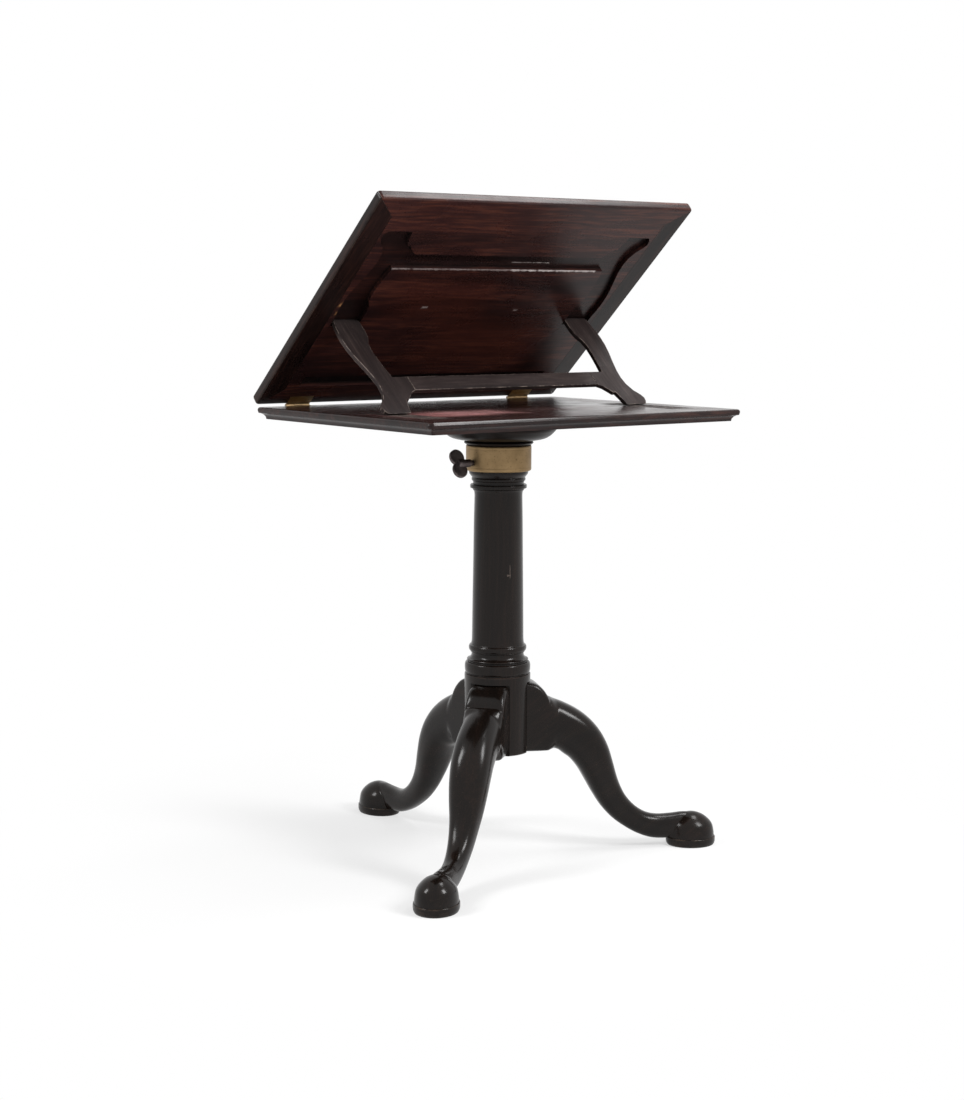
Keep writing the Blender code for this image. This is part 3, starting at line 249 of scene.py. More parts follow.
class GroupLibrary:
    """Builds each shared node group once."""

    @classmethod
    def found(cls, group: Group) -> bpy.types.NodeTree:
        """Returns the group, and builds it at its first use."""
        builders = {Group.WOOD_GRAIN: cls.wood_grain, Group.EDGE_WEAR: cls.edge_wear,
                    Group.GRIME: cls.grime, Group.HANDLING: cls.handling}
        return bpy.data.node_groups.get(group.value) or builders[group](group.value)

    @staticmethod
    def start(name: str, inputs: dict[str, tuple[str, float]], outputs: Sequence[str]) -> tuple[
            bpy.types.NodeTree, NodeBuilder, bpy.types.Node, bpy.types.Node]:
        """Makes an empty group with named sockets.

        Args:
            name: The group's name.
            inputs: Each input's name with its socket kind and default value.
            outputs: The names of the value outputs.

        Returns:
            The group, its builder, its input node and its output node.
        """
        group = bpy.data.node_groups.new(name, "ShaderNodeTree")
        for label, (kind, default) in inputs.items():
            socket = group.interface.new_socket(name=label, in_out="INPUT", socket_type="NodeSocket" + kind)
            if kind == "Float":
                socket.default_value = default
        for label in outputs:
            group.interface.new_socket(name=label, in_out="OUTPUT", socket_type="NodeSocketFloat")
        nodes = NodeBuilder(group)
        return group, nodes, nodes.add("NodeGroupInput"), nodes.add("NodeGroupOutput")

    @classmethod
    def wood_grain(cls, name: str) -> bpy.types.NodeTree:
        """Builds the broad figure, the fine streaks and the open pores of a grain along X."""
        inputs = {"Vector": ("Vector", 0.0), "Figure": ("Float", 24.0), "Stretch": ("Float", 0.07)}
        group, nodes, given, result = cls.start(name, inputs, ("Figure", "Streaks", "Pores"))
        stretch = given.outputs["Stretch"]
        squeeze = nodes.add("ShaderNodeCombineXYZ", {0: stretch, 1: 1.0, 2: 1.0}).outputs[0]
        bend = nodes.add("ShaderNodeTexNoise",
                         {"Vector": given.outputs["Vector"], "Scale": 5.0, "Detail": 2.0})
        sway = nodes.vector("MULTIPLY", bend.outputs[1], (0.0, 0.022, 0.022))
        bent = nodes.vector("ADD", given.outputs["Vector"], sway)
        along = nodes.vector("MULTIPLY", bent, squeeze)
        figure = nodes.noise(along, given.outputs["Figure"], detail=4.0, roughness=0.58, distortion=0.5)
        fine = nodes.calc("MULTIPLY", given.outputs["Figure"], STREAKS_TO_FIGURE)
        streaks = nodes.noise(along, fine, roughness=0.60)
        tiny = nodes.calc("MULTIPLY", given.outputs["Figure"], PORES_TO_FIGURE)
        dots = nodes.noise(along, tiny, detail=1.0)
        nodes.feed(result.inputs["Figure"], figure)
        nodes.feed(result.inputs["Streaks"], streaks)
        nodes.feed(result.inputs["Pores"], nodes.remap(dots, *PORE_RANGE))
        return group

    @classmethod
    def edge_wear(cls, name: str) -> bpy.types.NodeTree:
        """Builds a mask of rubbed edges from each piece's own marks, broken up by noise."""
        inputs = {"Vector": ("Vector", 0.0), "Breakup": ("Float", 60.0)}
        group, nodes, given, result = cls.start(name, inputs, ("Wear",))
        marks = nodes.add("ShaderNodeAttribute", attribute_name=RUB, attribute_type="GEOMETRY")
        broken = nodes.noise(given.outputs["Vector"], given.outputs["Breakup"], detail=4.0, roughness=0.7)
        share = nodes.remap(broken, *WEAR_RANGE)
        nodes.feed(result.inputs["Wear"], nodes.calc("MULTIPLY", marks.outputs["Fac"], share))
        return group

    @classmethod
    def grime(cls, name: str) -> bpy.types.NodeTree:
        """Builds a mask of the closed-in corners where polish and dust have gathered; on the wood it also
        paints the shade that falls in recesses and corners.
        """
        inputs = {"Vector": ("Vector", 0.0), "Reach": ("Float", 0.02), "Clouds": ("Float", 18.0)}
        group, nodes, given, result = cls.start(name, inputs, ("Grime",))
        # Ambient occlusion drives the mask, so it paints shade in corners as well as dust.
        occlusion = nodes.add("ShaderNodeAmbientOcclusion", {"Distance": given.outputs["Reach"]}, samples=8)
        corner = nodes.remap(occlusion.outputs["AO"], *CORNER_RANGE)
        cloud = nodes.noise(given.outputs["Vector"], given.outputs["Clouds"], detail=4.0, roughness=0.6)
        share = nodes.remap(cloud, 0.3, 0.6, to_low=0.45)
        nodes.feed(result.inputs["Grime"], nodes.calc("MULTIPLY", corner, share))
        return group

    @classmethod
    def handling(cls, name: str) -> bpy.types.NodeTree:
        """Builds the hazy smudges and the scratches in two directions."""
        inputs = {"Vector": ("Vector", 0.0), "Smudges": ("Float", 11.0), "Scratches": ("Float", 1.0)}
        group, nodes, given, result = cls.start(name, inputs, ("Smudges", "Scratches"))
        cloud = nodes.noise(given.outputs["Vector"], given.outputs["Smudges"], detail=4.0, roughness=0.62,
                            distortion=0.4)
        marks = []
        for turn, stretch in ((0.5, (620.0, 55.0, 620.0)), (-1.1, (60.0, 540.0, 540.0))):
            turned = nodes.add("ShaderNodeMapping", {"Vector": given.outputs["Vector"],
                                                     "Rotation": (0.3, turn, turn)}).outputs[0]
            drawn = nodes.vector("MULTIPLY", turned, stretch)
            thin = nodes.noise(drawn, given.outputs["Scratches"], detail=0.0)
            marks.append(nodes.remap(thin, *SCRATCH_RANGE))
        nodes.feed(result.inputs["Smudges"], cloud)
        nodes.feed(result.inputs["Scratches"], nodes.calc("MAXIMUM", *marks))
        return group


# Finishes


@dataclass(frozen=True)
class Finish:
    """What every finish has: a name, and a material that is built once."""

    name: str

    def material(self) -> bpy.types.Material:
        """Returns the finish's material, made at its first use."""
        found = bpy.data.materials.get(self.name)
        if found:
            return found
        made = bpy.data.materials.new(self.name)
        made.use_nodes = True
        nodes = NodeBuilder(made.node_tree)
        shader = made.node_tree.nodes["Principled BSDF"]
        self.build(nodes, shader)
        return made

    def build(self, nodes: NodeBuilder, shader: bpy.types.Node) -> None:
        """Builds the finish's nodes and feeds the shader."""
        raise NotImplementedError

    @staticmethod
    def raise_surface(nodes: NodeBuilder, shader: bpy.types.Node, height: bpy.types.NodeSocket,
                      strength: float, distance: float) -> None:
        """Feeds the shader's normal from a height.

        Args:
            nodes: The material's builder.
            shader: The material's shader.
            height: The height of the surface.
            strength: How much of it shows.
            distance: How many metres a height of 1 is.
        """
        bump = nodes.add("ShaderNodeBump", {"Height": height, "Strength": strength, "Distance": distance})
        nodes.feed(shader.inputs["Normal"], bump.outputs[0])

    @staticmethod
    def group(nodes: NodeBuilder, group: Group, inputs: dict[str, Any]) -> bpy.types.Node:
        """Places a shared node group with its own values.

        Args:
            nodes: The material's builder.
            group: The group.
            inputs: A value or an output for each socket that doesn't keep its default.

        Returns:
            The group's node.
        """
        node = nodes.add("ShaderNodeGroup", node_tree=GroupLibrary.found(group))
        for label, value in inputs.items():
            nodes.feed(node.inputs[label], value)
        return node


@dataclass(frozen=True)
class Patch:
    """A soft-edged oblong on one flat face, in which the surface has another colour. Some patches are stains,
    wear and faded wood; others are painted shade and painted highlights.

    The centre and the half sizes are in the finish's moved and turned coordinates, with Z out of the face.
    """

    centre: Point3
    half: Point3
    colour: Colour
    strength: float
    edge: float


def patches_on(height: float, depth: float, *rows: tuple[Any, ...]) -> tuple[Patch, ...]:
    """Places patches on one flat face.

    Args:
        height: Where the face lies along Z.
        depth: How far from the face a patch still shows.
        rows: Each patch's X, Y, half length, half width, colour, strength and softness of edge.

    Returns:
        The patches, in the same order.
    """
    return tuple(Patch((x, y, height), (across, deep, depth), colour, strength, edge)
                 for x, y, across, deep, colour, strength, edge in rows)


@dataclass(frozen=True)
class WoodFinish(Finish):
    """Mahogany under an old finish. The pattern's X runs along the grain after the turn."""

    dark: Colour
    mid: Colour
    light: Colour
    worn: Colour
    dust_and_shade_colour: Colour
    roughness: float
    roughness_spread: float
    specular: float
    figure: float
    wear: float
    stretch: float = 0.07
    pore_depth: float = 0.5
    pore_share: float = 0.3
    scratch: float = 0.2
    waviness: float = 2.0
    breakup: float = 60.0
    burnish: float = 0.18
    grime: float = 0.7
    dust_and_shade_reach: float = 0.02
    pore_haze: float = 0.2
    grime_haze: float = 0.25
    bump_strength: float = 0.35
    bump_distance: float = 0.00025
    turn: Point3 = (0.0, 0.0, 0.0)
    centre: Point3 = (0.0, 0.0, 0.0)
    patches: tuple[Patch, ...] = ()

    def build(self, nodes: NodeBuilder, shader: bpy.types.Node) -> None:
        """Builds the grain, the wear, the dust and painted shade in the corners, and the polish."""
        place = nodes.add("ShaderNodeTexCoord").outputs["Object"]
        moved = nodes.vector("SUBTRACT", place, self.centre)
        turned = nodes.add("ShaderNodeMapping", {"Vector": moved, "Rotation": self.turn}).outputs[0]
        grain = self.group(nodes, Group.WOOD_GRAIN,
                           {"Vector": turned, "Figure": self.figure, "Stretch": self.stretch})
        wear = self.group(nodes, Group.EDGE_WEAR, {"Vector": place, "Breakup": self.breakup})
        grime = self.group(nodes, Group.GRIME, {"Vector": place, "Reach": self.dust_and_shade_reach})
        marks = self.group(nodes, Group.HANDLING, {"Vector": place})
        figure = nodes.remap(grain.outputs["Figure"], *FIGURE_RANGE)
        colour = nodes.blend(figure, self.dark, self.mid)
        streak = nodes.remap(grain.outputs["Streaks"], *STREAK_RANGE)
        colour = nodes.blend(nodes.calc("MULTIPLY", streak, figure), colour, self.light)
        pores = nodes.calc("MULTIPLY", grain.outputs["Pores"], self.pore_share)
        colour = nodes.blend(pores, colour, self.dust_and_shade_colour)
        colour = self.tint(nodes, turned, colour)
        # Rubbed edges take the worn colour; where that colour is pale it is also a painted highlight on the
        # eased edges.
        rubbed = nodes.calc("MULTIPLY", wear.outputs["Wear"], self.wear)
        colour = nodes.blend(rubbed, colour, self.worn)
        # Darkens the occluded corners and recesses: gathered dust, and painted shade where shade falls.
        dust_and_shade = nodes.calc("MULTIPLY", grime.outputs["Grime"], self.grime)
        colour = nodes.blend(dust_and_shade, colour, self.dust_and_shade_colour)
        scratched = nodes.calc("MULTIPLY", marks.outputs["Scratches"], self.scratch)
        colour = nodes.blend(scratched, colour, self.worn)
        nodes.feed(shader.inputs["Base Color"], colour)
        low = self.roughness - self.roughness_spread / 2
        haze = nodes.remap(marks.outputs["Smudges"], *SMUDGE_RANGE, low, low + self.roughness_spread)
        open_pores = nodes.calc("MULTIPLY", grain.outputs["Pores"], self.pore_haze * self.pore_depth)
        rough = nodes.calc("ADD", haze, open_pores)
        rough = nodes.calc("ADD", rough, nodes.calc("MULTIPLY", dust_and_shade, self.grime_haze))
        rough = nodes.calc("SUBTRACT", rough, nodes.calc("MULTIPLY", rubbed, self.burnish), clamp=True)
        nodes.feed(shader.inputs["Roughness"], rough)
        relief = nodes.calc("MULTIPLY", grain.outputs["Pores"], -self.pore_depth)
        for mark, height in ((grain.outputs["Streaks"], self.pore_depth / 2),
                             (marks.outputs["Smudges"], self.waviness),
                             (marks.outputs["Scratches"], -self.scratch)):
            relief = nodes.calc("ADD", relief, nodes.calc("MULTIPLY", mark, height))
        self.raise_surface(nodes, shader, relief, self.bump_strength, self.bump_distance)
        shader.inputs["Specular IOR Level"].default_value = self.specular

    def tint(self, nodes: NodeBuilder, place: bpy.types.NodeSocket,
             colour: bpy.types.NodeSocket) -> bpy.types.NodeSocket:
        """Adds the piece's patches, one over the other: stains, wear and faded wood, and on some pieces
        painted shade and painted highlights.

        Args:
            nodes: The material's builder.
            place: The moved and turned coordinates.
            colour: The colour of the wood.

        Returns:
            The colour with the patches.
        """
        if not self.patches:
            return colour
        uneven = nodes.noise(place, 90.0, detail=4.0, roughness=0.7)
        ragged = nodes.remap(uneven, *SMUDGE_RANGE, -1.0, 1.0)
        drawn = nodes.vector("MULTIPLY", place, (22.0, 240.0, 240.0))
        streaky = nodes.noise(drawn, 1.0, detail=3.0, roughness=0.6)
        for patch in self.patches:
            offset = nodes.vector("SUBTRACT", place, patch.centre)
            reach = nodes.add("ShaderNodeVectorMath", {0: offset}, operation="ABSOLUTE").outputs[0]
            past = nodes.vector("SUBTRACT", reach, patch.half)
            axes = nodes.add("ShaderNodeSeparateXYZ", {0: past}).outputs
            fray = nodes.calc("MULTIPLY", ragged, min(patch.edge * 0.6, MOST_FRAY))
            frayed = nodes.calc("ADD", nodes.calc("MAXIMUM", axes[0], axes[1]), fray)
            flat = nodes.remap(frayed, patch.edge / 2, -patch.edge / 2)
            mask = nodes.calc("MULTIPLY", flat, nodes.remap(axes[2], FACE_EDGE, -FACE_EDGE))
            broken = nodes.remap(streaky, 0.30, 0.62, 0.55 * patch.strength, patch.strength)
            colour = nodes.blend(nodes.calc("MULTIPLY", mask, broken), colour, patch.colour)
        return colour


@dataclass(frozen=True)
class MetalFinish(Finish):
    """Old metal: clean where it is rubbed, tarnished elsewhere."""

    bright: Colour
    tarnish: Colour
    spots: Colour
    roughness: float
    roughness_spread: float = 0.2
    clouds: float = 30.0
    pits: float = 260.0
    pit_depth: float = 0.5
    wear: float = 0.8
    metallic_low: float = 0.75
    breakup: float = 90.0
    smudges: float = 40.0
    grime: float = 0.8
    dust_and_shade_reach: float = 0.008
    pit_stain: float = 0.7
    pit_haze: float = 0.15
    scratch: float = 0.5
    waviness: float = 1.5
    bump_strength: float = 0.4
    bump_distance: float = 0.0002

    def build(self, nodes: NodeBuilder, shader: bpy.types.Node) -> None:
        """Builds the tarnish, the pits and the rubbed edges."""
        place = nodes.add("ShaderNodeTexCoord").outputs["Object"]
        cloud = nodes.noise(place, self.clouds, detail=5.0, roughness=0.62, distortion=0.3)
        pits = nodes.remap(nodes.noise(place, self.pits, detail=3.0, roughness=0.6), *PIT_RANGE)
        wear = self.group(nodes, Group.EDGE_WEAR, {"Vector": place, "Breakup": self.breakup})
        grime = self.group(nodes, Group.GRIME, {"Vector": place, "Reach": self.dust_and_shade_reach})
        marks = self.group(nodes, Group.HANDLING, {"Vector": place, "Smudges": self.smudges})
        clear = nodes.remap(cloud, *TARNISH_RANGE)
        colour = nodes.blend(clear, self.tarnish, self.bright)
        colour = nodes.blend(nodes.calc("MULTIPLY", pits, self.pit_stain), colour, self.spots)
        colour = nodes.blend(nodes.calc("MULTIPLY", wear.outputs["Wear"], self.wear), colour, self.bright)
        dust_and_shade = nodes.calc("MULTIPLY", grime.outputs["Grime"], self.grime)
        colour = nodes.blend(dust_and_shade, colour, self.spots)
        nodes.feed(shader.inputs["Base Color"], colour)
        low = self.roughness - self.roughness_spread / 2
        haze = nodes.remap(marks.outputs["Smudges"], *SMUDGE_RANGE, low, low + self.roughness_spread)
        rough = nodes.calc("ADD", haze, nodes.calc("MULTIPLY", pits, self.pit_haze))
        nodes.feed(shader.inputs["Roughness"], rough)
        nodes.feed(shader.inputs["Metallic"], nodes.remap(dust_and_shade, 0.0, 0.6, 1.0, self.metallic_low))
        relief = nodes.calc("MULTIPLY", pits, -self.pit_depth)
        for mark, height in ((marks.outputs["Scratches"], -self.scratch), (cloud, self.waviness)):
            relief = nodes.calc("ADD", relief, nodes.calc("MULTIPLY", mark, height))
        self.raise_surface(nodes, shader, relief, self.bump_strength, self.bump_distance)


# Places that the frame gives


@dataclass(frozen=True)
class Places:
    """Where the column and the hinge line are, and how far the leaf is tilted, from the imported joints."""

    column: Vector
    hinge: Vector
    tilt: float

    @classmethod
    def from_frame(cls, frame: dict[str, Any]) -> Places:
        """Reads the joints of the frame.

        Args:
            frame: What the frame's loader returns.

        Returns:
            The places that the pieces are built from.
        """
        joints = {joint["name"]: joint for joint in frame["joints"]}
        swivel = Vector(joints["top_swivel"]["pos_m"])
        rise = joints["ledge_slide"]["axis"]
        return cls(Vector((swivel.x, swivel.y, 0.0)), Vector(joints["leaf_tilt"]["pos_m"]),
                   math.atan2(rise[1], rise[2]))

    @property
    def stand(self) -> Matrix:
        """The upright frame on the floor under the column."""
        return Matrix.Translation(self.column)

    def outward(self, direction: float) -> Matrix:
        """The upright frame with its X turned outward along a leg's direction."""
        return self.stand @ Matrix.Rotation(direction - BACK_TURN, 4, "Z")


# Shapes


def smooth_line(points: Sequence[Sequence[float]], steps: int) -> list[tuple[float, ...]]:
    """Runs a smooth curve through points of any dimension.

    Args:
        points: The points that the curve passes.
        steps: Pieces between two points.

    Returns:
        The curve's points, with both ends.
    """
    line = []
    last = len(points) - 1
    for i in range(last):
        before, start, end, after = (points[max(0, min(last, i + k))] for k in (-1, 0, 1, 2))
        for step in range(steps):
            t = step / steps
            line.append(tuple(
                (2 * b + t * ((c - a) + t * ((2 * a - 5 * b + 4 * c - d) + t * (3 * b - a - 3 * c + d)))) / 2
                for a, b, c, d in zip(before, start, end, after)
            ))
    line.append(tuple(points[last]))
    return line


def spun(profile: Sequence[Point], steps: int, closed: bool = False) -> bmesh.types.BMesh:
    """Spins a profile of (radius, height) points about Z.

    Args:
        profile: The profile's points.
        steps: Faces in a full turn.
        closed: Whether the last point joins the first.

    Returns:
        The turned shape.
    """
    bm = bmesh.new()
    verts = [bm.verts.new((radius, 0.0, height)) for radius, height in profile]
    pairs = list(zip(verts, verts[1:])) + ([(verts[-1], verts[0])] if closed else [])
    edges = [bm.edges.new(pair) for pair in pairs]
    bmesh.ops.spin(bm, geom=verts + edges, cent=(0, 0, 0), axis=(0, 0, 1), dvec=(0, 0, 0),
                   angle=2 * math.pi, steps=steps, use_merge=True, use_normal_flip=False, use_duplicate=False)
    bmesh.ops.remove_doubles(bm, verts=bm.verts, dist=MERGE_DISTANCE / 10)
    bmesh.ops.recalc_face_normals(bm, faces=bm.faces)
    return bm


def lofted(rings: Rings) -> bmesh.types.BMesh:
    """Extrudes a ring of edges from one section to the next and closes both ends.

    Args:
        rings: The sections, each with the same number of points.

    Returns:
        The closed limb.
    """
    bm = bmesh.new()
    bmesh.ops.create_circle(bm, cap_ends=True, radius=1.0, segments=len(rings[0]))
    bm.verts.ensure_lookup_table()
    for vert, point in zip(bm.verts, rings[0]):
        vert.co = point
    edges = list(bm.edges)
    for ring in rings[1:]:
        grown = bmesh.ops.extrude_edge_only(bm, edges=edges)["geom"]
        edges = [item for item in grown if isinstance(item, bmesh.types.BMEdge)]
        verts = [item for item in grown if isinstance(item, bmesh.types.BMVert)]
        for vert, point in zip(verts, ring):
            vert.co = point
    bmesh.ops.contextual_create(bm, geom=edges)
    bmesh.ops.recalc_face_normals(bm, faces=bm.faces)
    return bm


def prism(outline: Sequence[Point], low: float, high: float) -> bmesh.types.BMesh:
    """Extrudes a flat outline along Z.

    Args:
        outline: The (x, y) points.
        low: Where the prism starts.
        high: Where it ends.

    Returns:
        The closed prism.
    """
    bm = bmesh.new()
    face = bm.faces.new([bm.verts.new((*point, low)) for point in outline])
    grown = bmesh.ops.extrude_face_region(bm, geom=[face])["geom"]
    moved = [item for item in grown if isinstance(item, bmesh.types.BMVert)]
    bmesh.ops.translate(bm, vec=(0.0, 0.0, high - low), verts=moved)
    bmesh.ops.recalc_face_normals(bm, faces=bm.faces)
    return bm


def rod(radius: float, low: float, high: float, place: Sequence[float] = (0, 0, 0),
        lying: bool = False) -> bmesh.types.BMesh:
    """Makes a cylinder for a hole.

    Args:
        radius: Its radius.
        low: Where it starts along its axis.
        high: Where it ends.
        place: Where its axis starts.
        lying: Whether it lies along X instead of standing along Z.

    Returns:
        The closed cylinder.
    """
    bm = bmesh.new()
    bmesh.ops.create_cone(bm, cap_ends=True, segments=ROD_SEGMENTS, radius1=radius, radius2=radius,
                          depth=high - low)
    bmesh.ops.translate(bm, vec=(0, 0, (low + high) / 2), verts=bm.verts)
    if lying:
        bm.transform(Matrix.Rotation(BACK_TURN, 4, "Y"))
    bmesh.ops.translate(bm, vec=place, verts=bm.verts)
    return bm


def block(low: Sequence[float], high: Sequence[float]) -> bmesh.types.BMesh:
    """Makes a box for cutting.

    Args:
        low: Its lower corner.
        high: Its upper corner.

    Returns:
        The box.
    """
    bm = bmesh.new()
    size = Vector(high) - Vector(low)
    middle = (Vector(high) + Vector(low)) / 2
    bmesh.ops.create_cube(bm, size=1.0, matrix=Matrix.Translation(middle) @ Matrix.Diagonal((*size, 1.0)))
    return bm


def merged(parts: Iterable[bmesh.types.BMesh]) -> bmesh.types.BMesh:
    """Puts several shapes into one mesh.

    Args:
        parts: The shapes, which are used up.

    Returns:
        The whole.
    """
    whole = bmesh.new()
    for part in parts:
        spare = bpy.data.meshes.new("spare")
        part.to_mesh(spare)
        part.free()
        whole.from_mesh(spare)
        bpy.data.meshes.remove(spare)
    return whole


def rub_layer(bm: bmesh.types.BMesh) -> Any:
    """Returns the layer that holds how much each corner is rubbed."""
    return bm.loops.layers.float.get(RUB) or bm.loops.layers.float.new(RUB)


def ease(bm: bmesh.types.BMesh, width: float, segments: int) -> None:
    """Bevels every sharp outer edge, and marks the bevels as rubbed.

    Args:
        bm: The shape.
        width: How far the bevel reaches from the edge.
        segments: Faces across the bevel.
    """
    rub = rub_layer(bm)
    sharp = [edge for edge in bm.edges if edge.is_convex and edge.calc_face_angle(0.0) > SHARP_ANGLE]
    made = bmesh.ops.bevel(bm, geom=sharp, offset=width, offset_type="OFFSET", segments=segments,
                           profile=0.5, affect="EDGES", material=-1, clamp_overlap=True, loop_slide=True)
    for face in made["faces"]:
        for loop in face.loops:
            loop[rub] = 1.0


def mark_rubbed(bm: bmesh.types.BMesh, least: float = 0.06, gain: float = 6.0) -> None:
    """Marks how far each point of a dense shape stands out from its neighbours.

    Args:
        bm: The shape.
        least: How far a point stands out before it is rubbed.
        gain: How fast the mark grows from there.
    """
    bm.normal_update()
    rub = rub_layer(bm)
    for vert in bm.verts:
        away = [(vert.co - edge.other_vert(vert).co).normalized().dot(vert.normal)
                for edge in vert.link_edges]
        mark = max(0.0, min(1.0, gain * (sum(away) / max(1, len(away)) - least)))
        for loop in vert.link_loops:
            loop[rub] = mark


# Pieces


def linked(name: str, data: bpy.types.ID) -> bpy.types.Object:
    """Makes an object and links it to the scene."""
    obj = bpy.data.objects.new(name, data)
    bpy.context.scene.collection.objects.link(obj)
    return obj


@dataclass
class Workshop:
    """Turns shapes into pieces that ride on the frame."""

    frame: dict[str, Any]
    made: list[str] = field(default_factory=list)

    def loose(self, name: str, bm: bmesh.types.BMesh, matrix: Optional[Matrix] = None) -> bpy.types.Object:
        """Makes an object at the origin with its place in its mesh.

        Args:
            name: The object's name.
            bm: Its shape, which is used up.
            matrix: Where the shape goes in the frame.

        Returns:
            The new object.
        """
        if matrix is not None:
            bm.transform(matrix)
        mesh = bpy.data.meshes.new(name)
        bm.to_mesh(mesh)
        bm.free()
        return linked(name, mesh)

    def combine(self, target: bpy.types.Object, tools: Sequence[bpy.types.Object],
                join: Join = Join.CUT) -> None:
        """Cuts tools from a piece or joins them, and removes the tools.

        Args:
            target: The piece.
            tools: The objects to combine with it.
            join: Whether the tools are cut from the piece or added to it.
        """
        for tool in tools:
            modifier = target.modifiers.new(tool.name, "BOOLEAN")
            modifier.operation = join.value
            modifier.solver = "EXACT"
            modifier.object = tool
        self.apply(target)
        for tool in tools:
            bpy.data.objects.remove(tool, do_unlink=True)

    @staticmethod
    def apply(obj: bpy.types.Object) -> None:
        """Makes what the modifiers show the object's own mesh."""
        graph = bpy.context.evaluated_depsgraph_get()
        mesh = bpy.data.meshes.new_from_object(obj.evaluated_get(graph), depsgraph=graph)
        obj.modifiers.clear()
        obj.data = mesh

    def round_off(self, obj: bpy.types.Object, voxel: float, passes: int) -> None:
        """Fuses overlapping shapes into one skin and softens it, as a rasp and paper do.

        Args:
            obj: The piece.
            voxel: The size of the skin's faces.
            passes: How often it is smoothed.
        """
        remesh = obj.modifiers.new("fuse", "REMESH")
        remesh.mode = "VOXEL"
        remesh.voxel_size = voxel
        soften = obj.modifiers.new("soften", "SMOOTH")
        soften.factor = 0.5
        soften.iterations = passes
        self.apply(obj)

    def finish(self, obj: bpy.types.Object, finish: Finish, slot: Slot, body: Body, node: str) -> None:
        """Shades and dresses a piece and sets it on its body.

        Args:
            obj: The piece.
            finish: Its finish.
            slot: The record's slot that the finish stands for; not used.
            body: The body that it rides on.
            node: The CAD node that it stands for.
        """
        obj.data.materials.clear()
        obj.data.materials.append(finish.material())
        for polygon in obj.data.polygons:
            polygon.use_smooth = True
            polygon.material_index = 0
        obj.data.set_sharp_from_angle(angle=SMOOTH_ANGLE)
        weighted = obj.modifiers.new("flat faces stay flat", "WEIGHTED_NORMAL")
        weighted.keep_sharp = True
        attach(obj, body.value)
        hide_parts(node)
        self.made.append(obj.name)
        LOG.info("%s: %d faces on %s", obj.name, len(obj.data.polygons), body.value)

    def copied(self, node: str, name: str, width: float, segments: int = 2) -> bpy.types.Object:
        """Copies a CAD node, joins its flat faces and bevels its edges.

        Args:
            node: The CAD node.
            name: The copy's name.
            width: The width of its bevels.
            segments: Faces across a bevel.

        Returns:
            The copy.
        """
        bm = bmesh.new()
        bm.from_mesh(self.frame["nodes"][node].data)
        bmesh.ops.remove_doubles(bm, verts=bm.verts, dist=MERGE_DISTANCE)
        bmesh.ops.dissolve_limit(bm, angle_limit=FLAT_ANGLE, verts=bm.verts, edges=bm.edges)
        ease(bm, width, segments)
        return self.loose(name, bm)

    def refined(self, node: str, finish: Finish, slot: Slot, body: Body, width: float,
                segments: int = 2) -> None:
        """Makes a piece from a copy of a CAD node, with its edges eased.

        Args:
            node: The CAD node.
            finish: The piece's finish.
            slot: The record's slot.
            body: The body that it rides on.
            width: The width of its bevels.
            segments: Faces across a bevel.
        """
        self.finish(self.copied(node, node + "_eased", width, segments), finish, slot, body, node)

    def hinge_plates(self, side: Side, level: str, body: Body) -> None:
        """Makes the plate of one hinge at one level, and its two screws.

        Args:
            side: The end of the top that it is on.
            level: Its word in the names of nodes, lower or upper.
            body: The body that it rides on.
        """
        plate = f"hinge_{side.word}_{level}"
        self.refined(plate, BRASS, Slot.BRASS, body, HINGE_EASING)
        for index in (1, 2):
            self.refined(f"{plate}_screw_{index}", BRASS, Slot.BRASS, body, HINGE_SCREW_EASING)

    def dress(self, node: str, finish: Finish) -> None:
        """Gives a CAD node that stays a procedural finish."""
        obj = self.frame["nodes"][node]
        obj.data.materials.clear()
        obj.data.materials.append(finish.material())
        LOG.info("%s: carried over from the frame", node)


POLISHED = WoodFinish(
    "polished mahogany, upright grain", dark=(0.0052, 0.0036, 0.0029), mid=(0.0082, 0.0052, 0.0040),
    light=(0.0130, 0.0075, 0.0056), worn=(0.075, 0.050, 0.040), dust_and_shade_colour=(0.0036, 0.0025, 0.0020),
    roughness=0.20, roughness_spread=0.10, specular=0.20, figure=30.0,
    stretch=0.03, pore_depth=0.05, wear=0.50, scratch=0.12, turn=(0.0, BACK_TURN, 0.0),
)
BOARD = WoodFinish(
    "leaf mahogany, long grain", dark=(0.014, 0.0062, 0.0062), mid=(0.037, 0.0128, 0.0116),
    # The pale worn colour also stands in as painted highlight along the eased edges of the leaf.
    light=(0.086, 0.028, 0.0185), worn=(0.260, 0.200, 0.180), dust_and_shade_colour=(0.006, 0.0035, 0.0030),
    roughness=0.30, roughness_spread=0.12, specular=0.16, figure=26.0, stretch=0.06, wear=0.70,
    # A high share of corner darkening: painted shade in the leaf's recesses, besides dust.
    grime=0.95, dust_and_shade_reach=0.016, scratch=0.0, pore_depth=0.08, waviness=0.8,
)
EDGED = WoodFinish(
    "mahogany of the moulded bed", dark=(0.0070, 0.0038, 0.0036), mid=(0.0150, 0.0068, 0.0062),
    light=(0.036, 0.015, 0.012), worn=(0.120, 0.080, 0.066), dust_and_shade_colour=(0.004, 0.003, 0.003),
    roughness=0.22, roughness_spread=0.10, specular=0.20, figure=26.0, stretch=0.08, wear=0.55,
    grime=0.8, dust_and_shade_reach=0.010, scratch=0.04, pore_depth=0.10,
)
